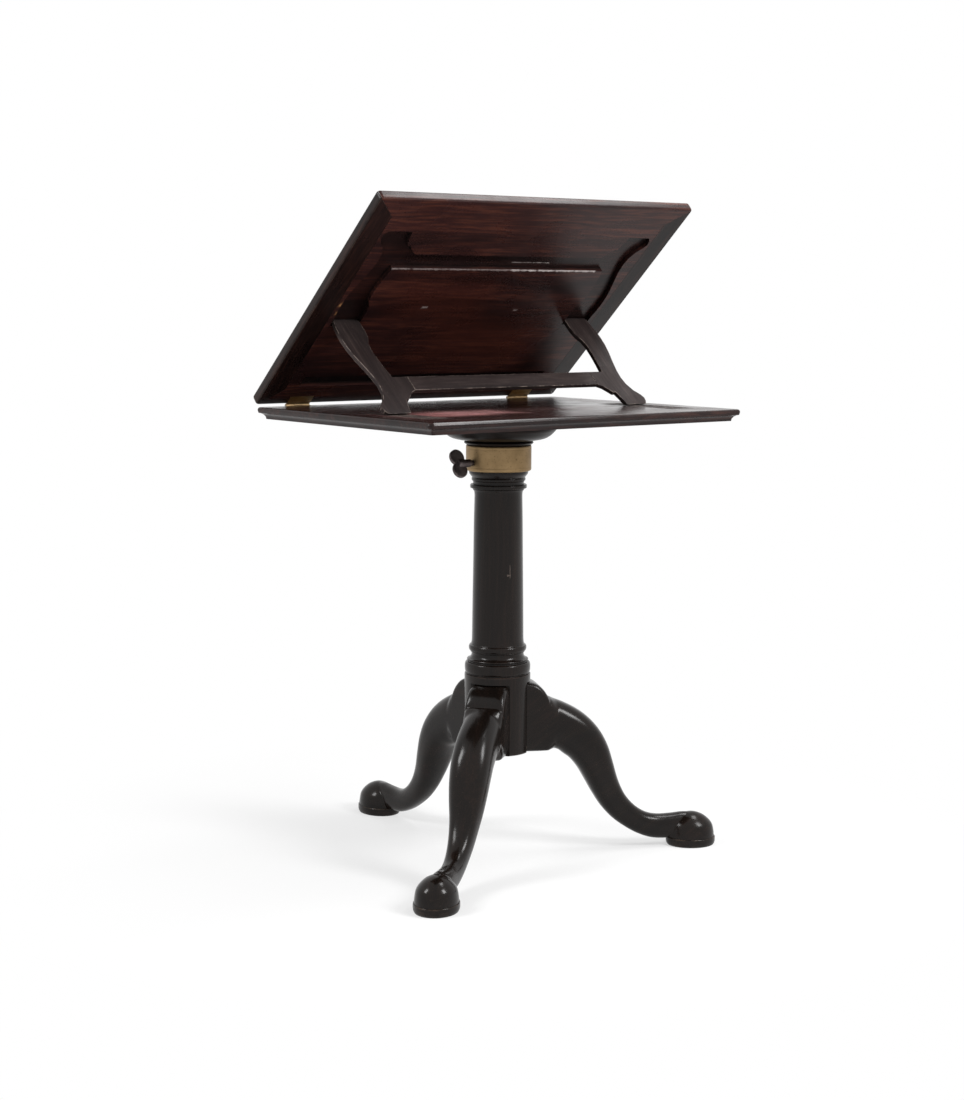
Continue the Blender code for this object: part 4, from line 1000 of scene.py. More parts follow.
CLAMP = WoodFinish(
    "leaf mahogany, cross grain", dark=(0.0048, 0.0028, 0.0026), mid=(0.0100, 0.0050, 0.0044),
    light=(0.026, 0.011, 0.0085), worn=(0.120, 0.075, 0.052), dust_and_shade_colour=(0.004, 0.003, 0.0025),
    roughness=0.30, roughness_spread=0.12, specular=0.16, figure=34.0, wear=0.7, scratch=0.0,
    pore_depth=0.08, waviness=0.8,
)
DRY = WoodFinish(
    "dry mahogany", dark=(0.017, 0.0115, 0.0112), mid=(0.031, 0.0215, 0.0205), light=(0.052, 0.037, 0.034),
    worn=(0.260, 0.210, 0.180), dust_and_shade_colour=(0.009, 0.007, 0.007), roughness=0.50, roughness_spread=0.2,
    specular=0.14, figure=40.0, stretch=0.06, wear=0.8, scratch=0.15,
)
BRASS = MetalFinish("aged brass", bright=(0.330, 0.225, 0.115), tarnish=(0.200, 0.132, 0.064),
                    spots=(0.070, 0.046, 0.022), roughness=0.50, roughness_spread=0.08, clouds=9.0,
                    pits=420.0, pit_depth=0.10, wear=0.35)
IRON = MetalFinish("blackened iron", bright=(0.190, 0.160, 0.155), tarnish=(0.075, 0.060, 0.060),
                   spots=(0.020, 0.015, 0.015), roughness=0.46, wear=0.6)
STEEL = MetalFinish("worn steel", bright=(0.36, 0.34, 0.32), tarnish=(0.14, 0.125, 0.11),
                    spots=(0.05, 0.035, 0.025), roughness=0.38)


# Sub-assemblies


class Assembly:
    """What every sub-assembly has: a way to build its pieces."""

    def build(self, shop: Workshop) -> None:
        """Builds the pieces, dresses them and sets them on their bodies.

        Args:
            shop: What makes the pieces.
        """
        raise NotImplementedError


@dataclass
class Column(Assembly):
    """The turned column: its bores, the three housings for the legs and the hole of the thumbscrew."""

    places: Places
    leg_directions: tuple[float, ...] = (math.radians(-53.6), math.radians(62.8), math.radians(181.0))
    block_bottom: float = 0.170
    block_height: float = 0.127
    block_radius: float = 0.053
    block_easing: float = 0.0012
    flat_depth: float = 0.01075
    leg_width: float = 0.064
    leg_head_length: float = 0.1145
    shaft_length: float = 0.3255
    neck_radius: float = 0.047
    tenon_radius: float = 0.0405
    tenon_top: float = 0.6547
    bore_bottom: float = 0.372
    stem_bore: float = 0.0128
    stem_top: float = 0.1963
    bore_radius: float = 0.0163
    screw_height: float = 0.637
    screw_radius: float = 0.0043
    tail_depth: float = 0.012
    tail_neck: float = 0.017
    tail_width: float = 0.026
    tail_top: float = 0.262
    steps: int = 128

    TURNINGS: tuple[tuple[Point, ...], ...] = (
        ((0.887, 1.0000), (0.889, 0.9930), (0.872, 0.9850), (0.822, 0.9745), (0.795, 0.9690)),
        ((0.797, 0.9680), (0.807, 0.9645), (0.810, 0.9600), (0.804, 0.9545), (0.785, 0.9515)),
        ((0.775, 0.9505), (0.765, 0.9440), (0.762, 0.9352)),
        ((0.834, 0.9345), (0.848, 0.9318), (0.852, 0.9250), (0.848, 0.9182), (0.834, 0.9160)),
        ((0.764, 0.9155), (0.771, 0.9125), (0.771, 0.9085), (0.758, 0.9050)),
        ((0.744, 0.9045), (0.728, 0.8960), (0.720, 0.8800), (0.722, 0.8600), (0.735, 0.7600),
         (0.747, 0.6000), (0.770, 0.3300), (0.778, 0.2200), (0.781, 0.1800), (0.788, 0.1600),
         (0.806, 0.1460), (0.826, 0.1425)),
        ((0.850, 0.1415), (0.866, 0.1370), (0.873, 0.1300), (0.870, 0.1225), (0.856, 0.1165)),
        ((0.832, 0.1155), (0.822, 0.1130), (0.826, 0.1100), (0.815, 0.1070)),
        ((0.796, 0.1060), (0.790, 0.1000), (0.795, 0.0920), (0.815, 0.0840), (0.852, 0.0775),
         (0.900, 0.0740)),
        ((0.921, 0.0730), (0.928, 0.0705), (0.920, 0.0675)),
        ((0.893, 0.0665), (0.888, 0.0630), (0.893, 0.0595)),
        ((0.945, 0.0585), (0.974, 0.0540), (0.988, 0.0470), (0.994, 0.0380), (0.992, 0.0240),
         (0.984, 0.0130), (0.968, 0.0065)),
        ((0.955, 0.0055), (0.951, 0.0035), (0.955, 0.0012)),
    )

    @property
    def flat(self) -> float:
        """How far from the axis the flats for the legs lie."""
        return self.block_radius - self.flat_depth

    @property
    def head_height(self) -> float:
        """How high the heads of the legs reach."""
        return self.block_bottom + self.leg_head_length

    def profile(self) -> list[Point]:
        """Returns the outline from the bore up over the tenon and down to the foot of the block."""
        radius, ease_by = self.block_radius, self.block_easing
        block_top = self.block_bottom + self.block_height
        shoulder = block_top + self.shaft_length
        outline = [(0.0, self.bore_bottom), (self.bore_radius, self.bore_bottom),
                   (self.bore_radius, self.tenon_top), (self.tenon_radius, self.tenon_top),
                   (self.tenon_radius, shoulder), (self.neck_radius, shoulder)]
        for group in self.TURNINGS:
            for out, up in smooth_line(group, PROFILE_STEPS):
                outline.append((out * radius, block_top + up * self.shaft_length))
        outline += [(radius - ease_by, block_top), (radius - ease_by / 4, block_top - ease_by / 4)]
        outline += [(radius, block_top - ease_by), (radius, block_top - 3 * ease_by)]
        outline += [(radius, self.block_bottom + 3 * ease_by), (radius, self.block_bottom + ease_by)]
        outline += [(radius - ease_by, self.block_bottom), (self.stem_bore, self.block_bottom)]
        outline += [(self.stem_bore, self.stem_top), (0.0, self.stem_top)]
        return outline

    def dovetail(self, gap: float, low: float) -> bmesh.types.BMesh:
        """The dovetail of a leg, or with a gap its housing in the column.

        Args:
            gap: How much wider the shape is on each side.
            low: Where the shape starts.

        Returns:
            The prism, inward from the leg's shoulder.
        """
        inner = self.flat - self.tail_depth - gap
        outer = self.flat + SPARE
        neck, wide = self.tail_neck / 2 + gap, self.tail_width / 2 + gap
        outline = [(inner, -wide), (outer, -neck), (outer, neck), (inner, wide)]
        return prism(outline, low, self.tail_top + gap)

    def build(self, shop: Workshop) -> None:
        """Builds the column and dresses it."""
        bm = spun(self.profile(), self.steps)
        mark_rubbed(bm)
        column = shop.loose("column_turned", bm, self.places.stand)
        tools = []
        half = self.leg_width / 2 + GAP
        low = self.block_bottom - SPARE
        for index, direction in enumerate(self.leg_directions):
            cut = block((self.flat - GAP, -half, low),
                        (self.block_radius + SPARE, half, self.head_height + GAP))
            turn = self.places.outward(direction)
            tools.append(shop.loose(f"flat_{index}", cut, turn))
            tools.append(shop.loose(f"housing_{index}", self.dovetail(GAP, low), turn))
        hole = rod(self.screw_radius, -self.block_radius, -self.bore_radius / 2,
                   (0, 0, self.screw_height), lying=True)
        tools.append(shop.loose("hole", hole, self.places.stand))
        shop.combine(column, tools)
        nick = (0.130, 0.100, 0.085)
        patches = (Patch((0.464, -0.040, 0.0066), (0.0105, 0.006, 0.0007), nick, 0.7, 0.004),
                   Patch((0.459, -0.040, 0.0086), (0.0012, 0.006, 0.0030), nick, 0.7, 0.002))
        polish = replace(POLISHED, name="polished mahogany of the column", patches=patches,
                         centre=tuple(self.places.column))
        shop.finish(column, polish, Slot.POLISHED, Body.STAND, "column")


@dataclass
class Leg(Assembly):
    """One cabriole leg: a limb that flows into a padded foot, with its dovetail in the column."""

    name: str
    direction: float
    column: Column
    reach: float = 0.3267
    foot_half_width: float = 0.0345
    foot_half_length: float = 0.0410
    foot_height: float = 0.0545
    roundness: float = 0.80
    head_roundness: float = 0.24
    crease: float = 0.134
    crease_run: float = 0.05
    section_points: int = 48
    foot_steps: int = 96
    dome_foot: float = -0.060
    pad_top: float = 0.247
    pad_least: float = 0.02
    pad_gain: float = 14.0
    grain_slope: float = math.radians(42)
    voxel: float = 0.0013
    passes: int = 5

    STATIONS: tuple[tuple[float, ...], ...] = (
        (-0.030, 1.000, -0.030, 1.000, 1.00), (0.000, 1.000, 0.000, 1.000, 1.00),
        (0.059, 0.986, 0.050, 1.000, 1.00), (0.097, 0.957, 0.085, 1.000, 1.00),
        (0.123, 0.921, 0.110, 1.001, 1.00), (0.134, 0.893, 0.123, 1.002, 1.00),
        (0.136, 0.873, 0.130, 1.002, 1.00), (0.144, 0.893, 0.140, 1.003, 1.00),
        (0.176, 0.884, 0.168, 1.004, 1.00), (0.240, 0.859, 0.199, 0.990, 1.00),
        (0.318, 0.817, 0.233, 0.947, 1.00), (0.388, 0.762, 0.272, 0.897, 1.00),
        (0.448, 0.691, 0.318, 0.803, 0.99), (0.493, 0.606, 0.360, 0.685, 0.94),
        (0.524, 0.510, 0.406, 0.550, 0.845), (0.556, 0.404, 0.458, 0.417, 0.713),
        (0.599, 0.313, 0.523, 0.298, 0.62), (0.658, 0.244, 0.598, 0.203, 0.55),
        (0.725, 0.200, 0.679, 0.126, 0.507), (0.795, 0.183, 0.768, 0.077, 0.49),
        (0.877, 0.184, 0.877, 0.068, 0.49), (0.942, 0.190, 0.942, 0.068, 0.447),
        (0.986, 0.189, 0.986, 0.068, 0.387),
    )
    DOME: tuple[Point, ...] = (
        (0.00, 0.990), (0.14, 0.983), (0.30, 0.952), (0.50, 0.885), (0.67, 0.790), (0.80, 0.690),
        (0.885, 0.580), (0.930, 0.430), (0.952, 0.300), (0.955, 0.120), (0.930, -0.060),
    )
    PAD: tuple[Point, ...] = (
        (0.950, 0.247), (0.972, 0.246), (0.989, 0.238), (0.998, 0.220), (1.000, 0.180), (0.998, 0.110),
        (0.980, 0.050), (0.945, 0.015), (0.905, 0.000),
    )

    def section(self, station: Sequence[float]) -> list[Vector]:
        """Makes one rounded oblong ring between the limb's upper and lower edge.

        Args:
            station: Out and up of the upper edge, out and up of the lower edge, and the width, as shares.

        Returns:
            The ring's points.
        """
        upper_out, upper_up, lower_out, lower_up, width_share = station
        flat = self.column.flat
        run = self.reach - flat
        upper = Vector((flat + upper_out * run, 0, upper_up * self.column.head_height))
        lower = Vector((flat + lower_out * run, 0, lower_up * self.column.block_bottom))
        middle, half_height = (upper + lower) / 2, (upper - lower) / 2
        half_width = self.column.leg_width * width_share / 2
        knee = min(1.0, max(0.0, (upper_out - self.crease) / self.crease_run))
        power = self.head_roundness + (self.roundness - self.head_roundness) * knee
        ring = []
        for index in range(self.section_points):
            angle = 2 * math.pi * (index + 0.5) / self.section_points
            sideways, upward = (math.copysign(abs(part) ** power, part)
                                for part in (math.sin(angle), math.cos(angle)))
            ring.append(middle + half_height * upward + Vector((0, half_width * sideways, 0)))
        return ring

    def turned_part(self, shares: Sequence[Point]) -> bmesh.types.BMesh:
        """Spins a part of the foot and stretches it to its oval.

        Args:
            shares: Its profile, as shares of the foot's half width and height.

        Returns:
            The part, in its place on the leg.
        """
        profile = [(out * self.foot_half_width, up * self.foot_height) for out, up in shares]
        bm = spun(profile, self.foot_steps)
        bmesh.ops.scale(bm, vec=(self.foot_half_length / self.foot_half_width, 1, 1), verts=bm.verts)
        bmesh.ops.translate(bm, vec=(self.reach, 0, 0), verts=bm.verts)
        return bm

    def build(self, shop: Workshop) -> None:
        """Builds the leg and dresses it."""
        column = self.column
        turn = column.places.outward(self.direction)
        limb = lofted([self.section(station) for station in smooth_line(self.STATIONS, PROFILE_STEPS)])
        dome = self.turned_part([*smooth_line(self.DOME, FOOT_STEPS), (0.0, self.dome_foot)])
        leg = shop.loose(self.name + "_carved", merged([limb, dome]))
        shop.round_off(leg, self.voxel, self.passes)
        bm = bmesh.new()
        bm.from_mesh(leg.data)
        for point, normal in (((column.flat, 0, 0), (-1, 0, 0)), ((0, 0, 0), (0, 0, -1))):
            cut = bmesh.ops.bisect_plane(bm, geom=[*bm.verts, *bm.edges, *bm.faces], plane_co=point,
                                         plane_no=normal, clear_outer=True)
            rim = [item for item in cut["geom_cut"] if isinstance(item, bmesh.types.BMEdge)]
            bmesh.ops.contextual_create(bm, geom=rim)
        bmesh.ops.recalc_face_normals(bm, faces=bm.faces)
        mark_rubbed(bm)
        bm.transform(turn)
        bm.to_mesh(leg.data)
        bm.free()
        pad = self.turned_part([(0.0, self.pad_top), *smooth_line(self.PAD, FOOT_STEPS), (0.0, 0.0)])
        # The pad's upper edge is marked strongly rubbed, which paints a pale line there: wear, and a painted
        # highlight.
        mark_rubbed(pad, self.pad_least, self.pad_gain)
        tail = column.dovetail(0.0, column.block_bottom + GAP)
        shop.combine(leg, [shop.loose("pad", pad, turn), shop.loose("tail", tail, turn)], Join.ADD)
        # The pale worn colour on the rubbed edges is wear and also a painted highlight.
        grain = replace(POLISHED, name="polished mahogany of " + self.name, worn=(0.17, 0.115, 0.080),
                        wear=0.55, turn=(0.0, self.grain_slope, BACK_TURN - self.direction),
                        centre=tuple(column.places.column))
        shop.finish(leg, grain, Slot.POLISHED, Body.STAND, self.name)


@dataclass
class Stand(Assembly):
    """The fixed stand: the column with its plug and collar, the three legs and the iron plate below."""

    places: Places
    leg_names: tuple[str, ...] = ("leg_front", "leg_right", "leg_rear")
    collar_bottom: float = 0.6228
    collar_top: float = 0.664
    collar_radius: float = 0.052
    collar_lid: float = 0.009
    foot_inset: float = 0.0006
    line_inset: float = 0.0062
    line_half: float = 0.0004
    line_depth: float = 0.0003
    plug_easing: float = 0.0005
    plate_easing: float = 0.0006

    RIM: tuple[Point, ...] = ((0.0030, 0.0), (0.0012, 0.0005), (0.0003, 0.0016), (0.0, 0.0034))
    FOOT: tuple[Point, ...] = ((0.0, 0.0034), (0.0006, 0.0014), (0.0022, 0.0002))

    def build(self, shop: Workshop) -> None:
        """Builds and dresses every piece of the stand."""
        column = Column(self.places)
        column.build(shop)
        for name, direction in zip(self.leg_names, column.leg_directions):
            Leg(name, direction, column).build(shop)
        self.collar(shop, column)
        shop.refined("column_plug", POLISHED, Slot.POLISHED, Body.STAND, self.plug_easing)
        shop.refined("tripod_plate", IRON, Slot.IRON, Body.STAND, self.plate_easing)
        for index in range(len(self.leg_names)):
            shop.refined(f"plate_screw_{index + 1}", IRON, Slot.IRON, Body.STAND, SCREW_EASING)

    def collar(self, shop: Workshop, column: Column) -> None:
        """Builds the brass collar with its eased rims and two fine turned lines.

        Args:
            shop: What makes the piece.
            column: The column that it fits.
        """
        radius, top, bottom = self.collar_radius, self.collar_top, self.collar_bottom
        inside = column.tenon_radius + GAP
        lid = top - self.collar_lid
        rim = [(radius - inset, top - drop) for inset, drop in self.RIM]
        foot = [(radius - inset, bottom + rise) for inset, rise in self.FOOT]
        foot.append(((radius + column.neck_radius) / 2 - self.foot_inset, bottom))
        outline = [(column.bore_radius, lid), (column.bore_radius, top), *smooth_line(rim, RIM_STEPS)]
        for height in (top - self.line_inset, bottom + self.line_inset):
            outline += [(radius, height + self.line_half), (radius - self.line_depth, height),
                        (radius, height - self.line_half)]
        outline += [*smooth_line(foot, RIM_STEPS), (inside, bottom), (inside, lid)]
        bm = spun(outline, column.steps, closed=True)
        mark_rubbed(bm)
        collar = shop.loose("collar_turned", bm, self.places.stand)
        hole = rod(column.screw_radius, -radius - SPARE, -column.bore_radius * 2,
                   (0, 0, column.screw_height), lying=True)
        shop.combine(collar, [shop.loose("collar_hole", hole, self.places.stand)])
        shop.finish(collar, BRASS, Slot.BRASS, Body.STAND, "collar")


@dataclass
class Clamp(Assembly):
    """The thumbscrew and the brass shoe that it presses on the post."""

    voxel: float = 0.0005
    passes: int = 5
    shoe_easing: float = 0.0003
    screw_easing: float = 0.0010

    def build(self, shop: Workshop) -> None:
        """Builds and dresses both pieces."""
        shop.refined("clamp_shoe", BRASS, Slot.BRASS, Body.CLAMP, self.shoe_easing)
        screw = shop.copied("thumbscrew", "thumbscrew_cast", self.screw_easing)
        shop.round_off(screw, self.voxel, self.passes)
        bm = bmesh.new()
        bm.from_mesh(screw.data)
        mark_rubbed(bm)
        bm.to_mesh(screw.data)
        bm.free()
        shop.finish(screw, IRON, Slot.IRON, Body.THUMBSCREW, "thumbscrew")


@dataclass
class Mast(Assembly):
    """The sliding post and the iron pin on which the top turns."""

    post_easing: float = 0.0004

    def build(self, shop: Workshop) -> None:
        """Builds and dresses both pieces."""
        upright = replace(DRY, name="dry mahogany, upright grain", turn=(0.0, BACK_TURN, 0.0))
        shop.refined("post", upright, Slot.DRY, Body.MAST, self.post_easing)
        shop.dress("swivel_pin", IRON)


@dataclass
class Top(Assembly):
    """The bed with its boss, racks, lower hinge plates and screws."""

    places: Places
    bed_top: float = 0.7215
    boss_radius: float = 0.092
    boss_flat: float = 0.053
    boss_bottom: float = 0.6709
    boss_height: float = 0.0315
    ring_radius: float = 0.0550
    ring_neck: float = 0.0515
    ring_bottom: float = 0.6643
    post_bore: float = 0.0163
    pin_bore: float = 0.0063
    head_bore: float = 0.0123
    head_seat: float = 0.6959
    screw_reach: float = 0.040
    screw_radius: float = 0.0025
    screw_head_radius: float = 0.0046
    screw_sunk: float = 0.6829
    boss_easing: float = 0.0008
    ring_rise: float = 0.0012
    ring_inset: float = 0.0006
    bed_easing: float = 0.0011
    rack_easing: float = 0.0004
    patch_depth: float = 0.0012
    boss_screws: int = 4
    steps: int = 128

    TURNINGS: tuple[Point, ...] = (
        (1.000, 0.68), (0.994, 0.60), (0.965, 0.52), (0.89, 0.42), (0.80, 0.31), (0.68, 0.20), (0.50, 0.10),
        (0.18, 0.02), (0.02, 0.005),
    )

    def build(self, shop: Workshop) -> None:
        """Builds and dresses every piece of the top."""
        self.boss(shop)
        shop.refined("bed", self.bed_finish(), Slot.LEAF, Body.TOP, self.bed_easing, 3)
        racks = replace(DRY, name="dry mahogany, grain across the bed", turn=(0.0, 0.0, -BACK_TURN))
        for side in Side:
            shop.refined(f"rack_{side.word}", racks, Slot.DRY, Body.TOP, self.rack_easing)
            shop.hinge_plates(side, "lower", Body.TOP)
            shop.dress(f"hinge_{side.word}_pin", STEEL)
        for index in range(self.boss_screws):
            shop.refined(f"boss_screw_{index + 1}", STEEL, Slot.STEEL, Body.TOP, SCREW_EASING)

    def bed_finish(self) -> WoodFinish:
        """Returns the bed's finish: dark moulded edges round a faded upper face, with pinkish raw wood
        painted bright as a lit patch and dark bands of painted shade.
        """
        patches = patches_on(
            self.bed_top, self.patch_depth,
            (0.0, 0.0, 0.292, 0.222, (0.040, 0.019, 0.018), 0.6, 0.020),
            # Pinkish raw wood under the leaf, painted far brighter as a lit patch.
            (-0.185, -0.085, 0.070, 0.045, (0.50, 0.210, 0.205), 0.80, 0.050),
            (-0.105, -0.070, 0.062, 0.045, (0.48, 0.240, 0.235), 0.85, 0.050),
            (0.070, -0.062, 0.105, 0.040, (0.100, 0.058, 0.055), 0.5, 0.060),
            # Dark bands of painted shade: under the raised leaf, and near the right rack.
            (-0.050, 0.020, 0.062, 0.016, (0.012, 0.008, 0.008), 0.6, 0.030),
            (0.197, -0.090, 0.065, 0.025, (0.010, 0.007, 0.007), 0.6, 0.030),
        )
        return replace(EDGED, centre=tuple(self.places.column), patches=patches)

    def boss(self, shop: Workshop) -> None:
        """Builds the turned boss with the dark ring that sits on the collar, and bores it."""
        bottom, eased = self.boss_bottom, self.boss_easing
        top = bottom + self.boss_height
        ring = (self.ring_bottom + bottom) / 2
        flare = self.boss_radius - self.boss_flat
        side = [(self.boss_flat + out * flare, bottom + up * self.boss_height)
                for out, up in smooth_line(self.TURNINGS, PROFILE_STEPS)]
        slope = self.ring_radius - self.ring_inset
        edge = smooth_line([(self.ring_neck, bottom), (slope, ring + self.ring_rise),
                            (self.ring_radius, ring), (slope, ring - self.ring_rise),
                            (self.ring_neck, self.ring_bottom)], RIM_STEPS)
        outline = [(self.head_bore, top), (self.boss_radius - eased, top), (self.boss_radius, top - eased)]
        outline += [*side, *edge, (self.post_bore, self.ring_bottom), (self.post_bore, bottom)]
        outline += [(self.pin_bore, bottom), (self.pin_bore, self.head_seat)]
        outline.append((self.head_bore, self.head_seat))
        bm = spun(outline, self.steps, closed=True)
        mark_rubbed(bm)
        boss = shop.loose("boss_turned", bm, self.places.stand)
        tools = []
        for index in range(self.boss_screws):
            turn = self.places.stand @ Matrix.Rotation((index + 0.5) * BACK_TURN, 4, "Z")
            for radius, low, high in ((self.screw_head_radius, self.ring_bottom - SPARE, self.screw_sunk),
                                      (self.screw_radius, self.screw_sunk - SPARE, top + SPARE)):
                hole = rod(radius, low, high, (self.screw_reach, 0, 0))
                tools.append(shop.loose(f"boss_hole_{index}", hole, turn))
        shop.combine(boss, tools)
        plain = replace(POLISHED, name="polished mahogany, flat grain", turn=(0.0, 0.0, 0.0),
                        specular=0.10, roughness=0.30)
        shop.finish(boss, plain, Slot.POLISHED, Body.TOP, "boss")


@dataclass
class Leaf(Assembly):
    """The tilting leaf: its board, end clamps, upper hinge plates and the book ledge."""

    places: Places
    underside: float = 0.0003
    recess: float = 0.0076
    edge_easing: float = 0.0022
    ledge_easing: float = 0.0006
    patch_depth: float = 0.0016

    def board_finish(self) -> WoodFinish:
        """Returns the board's finish, with patches on its underside and on the floors of its recesses. The
        pale lines along the crossbar recess are painted highlights, and the dark patch over the recess floors
        is painted shade.

        The turn lays the leaf flat, so the patches have X along the hinge, -Y away from it and Z up.
        """
        pale, ochre, ruddy = (0.30, 0.25, 0.24), (0.34, 0.17, 0.07), (0.11, 0.026, 0.014)
        face = patches_on(
            self.underside, self.patch_depth,
            (0.055, -0.156, 0.105, 0.045, ruddy, 0.34, 0.110),
            (-0.081, -0.254, 0.085, 0.040, ruddy, 0.28, 0.100),
            # Painted highlight: pale lines along the lower lip of the crossbar recess, where light catches
            # the edge.
            (-0.0125, -0.3243, 0.2055, 0.0012, pale, 0.80, 0.0022),
            (0.105, -0.3243, 0.088, 0.0012, (0.55, 0.50, 0.48), 0.9, 0.0022),
            (-0.101, -0.237, 0.0045, 0.0016, pale, 0.9, 0.003),
            (0.084, -0.230, 0.0035, 0.0014, pale, 0.9, 0.003),
            (-0.2585, -0.242, 0.0050, 0.0050, ochre, 0.9, 0.005),
            (-0.2570, -0.224, 0.0035, 0.0035, ochre, 0.8, 0.005),
        )
        recess_shade_and_highlight = patches_on(
            self.underside + self.recess, self.patch_depth,
            # Painted shade over the floors of the recesses.
            (0.0, -0.250, 0.300, 0.250, (0.0070, 0.0038, 0.0036), 0.70, 0.004),
            # Painted highlight: a pale line on the floor of the crossbar recess.
            (0.056, -0.335, 0.038, 0.0006, (0.42, 0.38, 0.36), 0.8, 0.0014),
        )
        return replace(BOARD, name="leaf mahogany of the board", turn=(self.places.tilt, 0.0, 0.0),
                       centre=tuple(self.places.hinge), patches=face + recess_shade_and_highlight)

    def build(self, shop: Workshop) -> None:
        """Builds and dresses every piece of the leaf."""
        shop.refined("leaf_board", self.board_finish(), Slot.LEAF, Body.LEAF, self.edge_easing, 3)
        across = replace(CLAMP, turn=(self.places.tilt, 0.0, -BACK_TURN))
        for side in Side:
            shop.refined(f"leaf_clamp_{side.word}", across, Slot.LEAF, Body.LEAF, self.edge_easing, 3)
            shop.hinge_plates(side, "upper", Body.LEAF)
            shop.dress(f"strut_pin_{side.word}", STEEL)
        shop.refined("book_ledge", CLAMP, Slot.LEAF, Body.LEDGE, self.ledge_easing)


@dataclass
class Prop(Assembly):
    """The folding prop: two shaped struts and the crossbar between them."""

    places: Places
    easing: float = 0.0008

    def build(self, shop: Workshop) -> None:
        """Builds and dresses every piece of the prop."""
        along = replace(DRY, name="dry mahogany, grain along the strut",
                        turn=(-self.places.tilt, 0.0, -BACK_TURN))
        for side in Side:
            shop.refined(f"strut_{side.word}", along, Slot.DRY, Body.PROP, self.easing)
        shop.refined("crossbar", DRY, Slot.DRY, Body.PROP, self.easing)


# Floor, light and camera


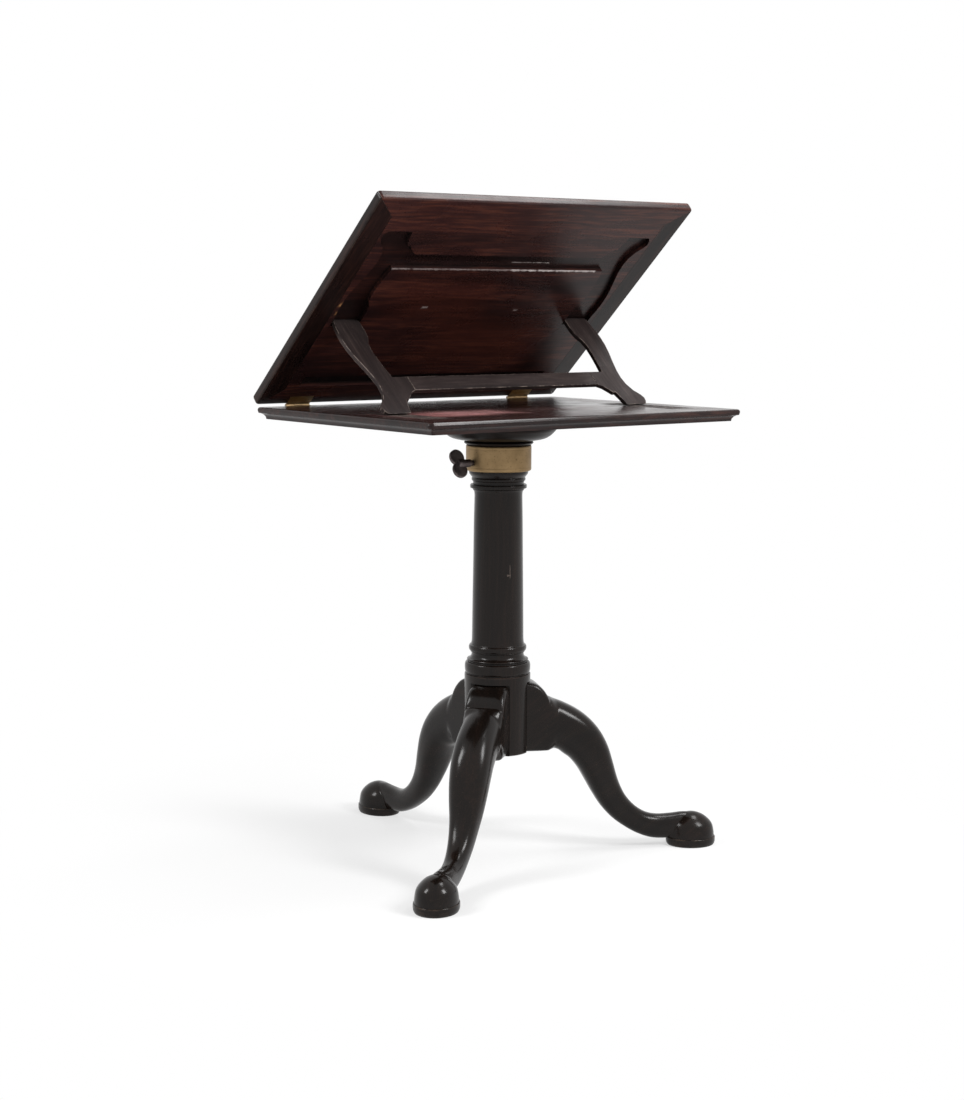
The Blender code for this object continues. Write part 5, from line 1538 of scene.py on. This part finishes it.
@dataclass
class Studio(Assembly):
    """A white floor and backdrop, tall soft lamps on both sides and the camera."""

    places: Places
    floor_radius: float = 6.0
    clear_radius: float = 0.36
    fade_radius: float = 0.85
    haze: float = 0.55
    pale: Colour = (0.91, 0.91, 0.91)
    camera_place: tuple[float, float, float] = (-1.954, -2.499, 0.902)
    camera_turn: tuple[float, float, float] = (math.pi / 2 - 0.1276, -0.0046, -0.6549)
    lens: float = 65.57
    ambient: float = 0.46
    aim_height: float = 0.5
    floor_segments: int = 96
    floor_roughness: float = 0.9
    floor_specular: float = 0.1

    LAMPS: tuple[tuple[str, Point3, Point, float], ...] = (
        ("window_left", (-1.75, 0.50, 1.75), (0.52, 0.84), 25.0),
        ("window_right", (0.75, -1.65, 1.65), (0.52, 0.84), 31.0),
        ("overhead", (1.0, -0.35, 2.5), (1.0, 0.6), 22.0),
    )

    def build(self, shop: Workshop) -> None:
        """Builds the floor, the world, the lamps and the camera."""
        self.floor(shop)
        self.world()
        for lamp in self.LAMPS:
            self.lamp(*lamp)
        camera = linked("camera", bpy.data.cameras.new("camera"))
        camera.location = self.places.column + Vector(self.camera_place)
        camera.rotation_euler = self.camera_turn
        camera.data.lens = self.lens
        bpy.context.scene.camera = camera
        bpy.context.scene.view_settings.view_transform = "Standard"

    def lamp(self, name: str, place: Point3, size: Point, power: float) -> None:
        """Adds a soft lamp that looks at the middle of the table.

        Args:
            name: The lamp's name.
            place: Where it stands, from the foot of the column.
            size: Its width and height.
            power: Its power in watts.
        """
        data = bpy.data.lights.new(name, "AREA")
        data.shape = "RECTANGLE"
        data.size, data.size_y = size
        data.energy = power
        lamp = linked(name, data)
        lamp.location = self.places.column + Vector(place)
        target = self.places.column + Vector((0, 0, self.aim_height))
        lamp.rotation_euler = (target - lamp.location).to_track_quat("-Z", "Y").to_euler()

    @staticmethod
    def seen(nodes: NodeBuilder) -> bpy.types.NodeSocket:
        """Returns 1 for the rays that show the background: those of the camera, of glass and of polish."""
        rays = nodes.add("ShaderNodeLightPath").outputs
        direct = nodes.calc("MAXIMUM", rays["Is Camera Ray"], rays["Is Transmission Ray"])
        return nodes.calc("MAXIMUM", direct, rays["Is Glossy Ray"])

    def floor(self, shop: Workshop) -> None:
        """Adds the pale floor, which keeps the table's shadow and turns white further out."""
        bm = bmesh.new()
        bmesh.ops.create_circle(bm, cap_ends=True, radius=self.floor_radius, segments=self.floor_segments)
        floor = shop.loose("floor", bm)
        material = bpy.data.materials.new("white floor")
        material.use_nodes = True
        nodes = NodeBuilder(material.node_tree)
        shader = material.node_tree.nodes["Principled BSDF"]
        output = material.node_tree.nodes["Material Output"]
        shader.inputs["Base Color"].default_value = (*self.pale, 1.0)
        shader.inputs["Roughness"].default_value = self.floor_roughness
        shader.inputs["Specular IOR Level"].default_value = self.floor_specular
        place = nodes.add("ShaderNodeTexCoord").outputs["Object"]
        reach = nodes.add("ShaderNodeVectorMath", {0: place}, operation="LENGTH").outputs[1]
        far = nodes.remap(reach, self.clear_radius, self.fade_radius, self.haze, 1.0)
        white = nodes.add("ShaderNodeEmission", {"Color": (1, 1, 1, 1), "Strength": 1.0}).outputs[0]
        share = nodes.calc("MULTIPLY", far, self.seen(nodes))
        mixed = nodes.add("ShaderNodeMixShader", {0: share, 1: shader.outputs[0], 2: white})
        nodes.feed(output.inputs[0], mixed.outputs[0])
        floor.data.materials.append(material)

    def world(self) -> None:
        """Makes a world that is white where it is seen and soft where it lights."""
        world = bpy.data.worlds.new("studio")
        bpy.context.scene.world = world
        world.use_nodes = True
        nodes = NodeBuilder(world.node_tree)
        strength = nodes.calc("MAXIMUM", self.seen(nodes), self.ambient)
        background = world.node_tree.nodes["Background"]
        background.inputs["Color"].default_value = (1.0, 1.0, 1.0, 1.0)
        nodes.feed(background.inputs["Strength"], strength)


def main() -> None:
    """Builds the sub-assemblies in order around the frame."""
    logging.basicConfig(level=logging.INFO, format="%(message)s")
    for obj in list(bpy.data.objects):
        bpy.data.objects.remove(obj, do_unlink=True)
    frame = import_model()
    shop = Workshop(frame)
    places = Places.from_frame(frame)
    for assembly in (Stand(places), Clamp(), Mast(), Top(places), Leaf(places), Prop(places), Studio(places)):
        LOG.info("building the %s", type(assembly).__name__.lower())
        assembly.build(shop)
    LOG.info("%d new pieces", len(shop.made))


if __name__ == "__main__":
    main()
